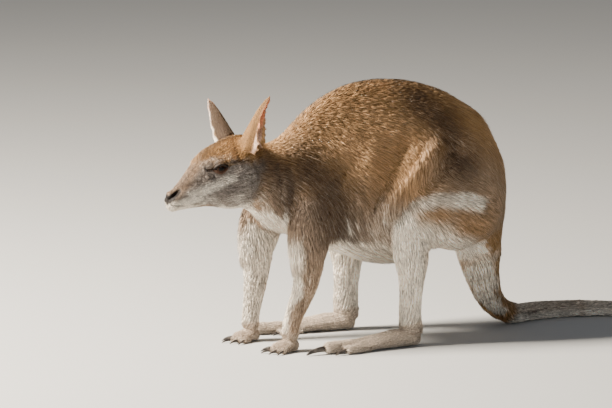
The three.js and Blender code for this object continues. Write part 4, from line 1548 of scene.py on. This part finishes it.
class WALLABY_OT_stage(bpy.types.Operator):
    """Pale floor, soft lights and the camera"""
    bl_idname = "wallaby.stage"
    bl_label = "Stage"

    def execute(self, context):
        scene, settings = context.scene, context.scene.wallaby_stage
        deselect()
        bpy.ops.mesh.primitive_plane_add(size=FLOOR_SIZE, location=(0, 0, 0))
        floor = context.object
        floor.name = "studio_floor"
        floor.data.materials.append(floor_material(scene.wallaby_colours))
        across, rise = settings.azimuth, settings.elevation
        level = math.cos(rise)
        way = Vector((math.sin(across) * level, -math.cos(across) * level, math.sin(rise)))
        target = Vector(settings.target)
        camera = bpy.data.objects.new("camera", bpy.data.cameras.new("camera"))
        scene.collection.objects.link(camera)
        camera.data.lens = settings.lens
        camera.data.sensor_width = SENSOR_WIDTH
        aimed(camera, target + way * settings.distance, target)
        scene.camera = camera
        for name, (place, size, colour) in LAMPS.items():
            light = bpy.data.lights.new(name, "AREA")
            light.energy, light.size, light.color = getattr(settings, name), size, colour
            lamp = bpy.data.objects.new(name, light)
            scene.collection.objects.link(lamp)
            aimed(lamp, place, LIT_PLACE)
        world = bpy.data.worlds.new("studio")
        world.use_nodes = True
        background = world.node_tree.nodes["Background"]
        background.inputs["Color"].default_value = SKY_COLOUR
        background.inputs["Strength"].default_value = settings.world
        scene.world = world
        scene.view_settings.look = "AgX - Punchy"
        return {"FINISHED"}


OPERATORS = (WALLABY_OT_skin, WALLABY_OT_coat, WALLABY_OT_eyes, WALLABY_OT_claws, WALLABY_OT_stage)


class WALLABY_PT_model(bpy.types.Panel):
    """Lists the steps that build the wallaby"""
    bl_idname = "WALLABY_PT_model"
    bl_label = "Wallaby"
    bl_space_type = "VIEW_3D"
    bl_region_type = "UI"
    bl_category = "Wallaby"

    def draw(self, context):
        for operator in OPERATORS:
            self.layout.operator(operator.bl_idname)
        for name, kind in SETTINGS.items():
            box = self.layout.box()
            for field in kind.__annotations__:
                box.prop(getattr(context.scene, name), field)


CLASSES = (*SETTINGS.values(), *OPERATORS, WALLABY_PT_model)


def register():
    """Adds the classes and the scene's settings."""
    for kind in CLASSES:
        bpy.utils.register_class(kind)
    for name, kind in SETTINGS.items():
        setattr(bpy.types.Scene, name, PointerProperty(type=kind))


def unregister():
    """Removes the settings and the classes."""
    for name in SETTINGS:
        delattr(bpy.types.Scene, name)
    for kind in reversed(CLASSES):
        bpy.utils.unregister_class(kind)


def main():
    """Builds the whole model."""
    register()
    bpy.ops.wallaby.skin()
    bpy.ops.wallaby.coat()
    bpy.ops.wallaby.eyes()
    bpy.ops.wallaby.claws()
    bpy.ops.wallaby.stage()


if __name__ == "__main__":
    main()
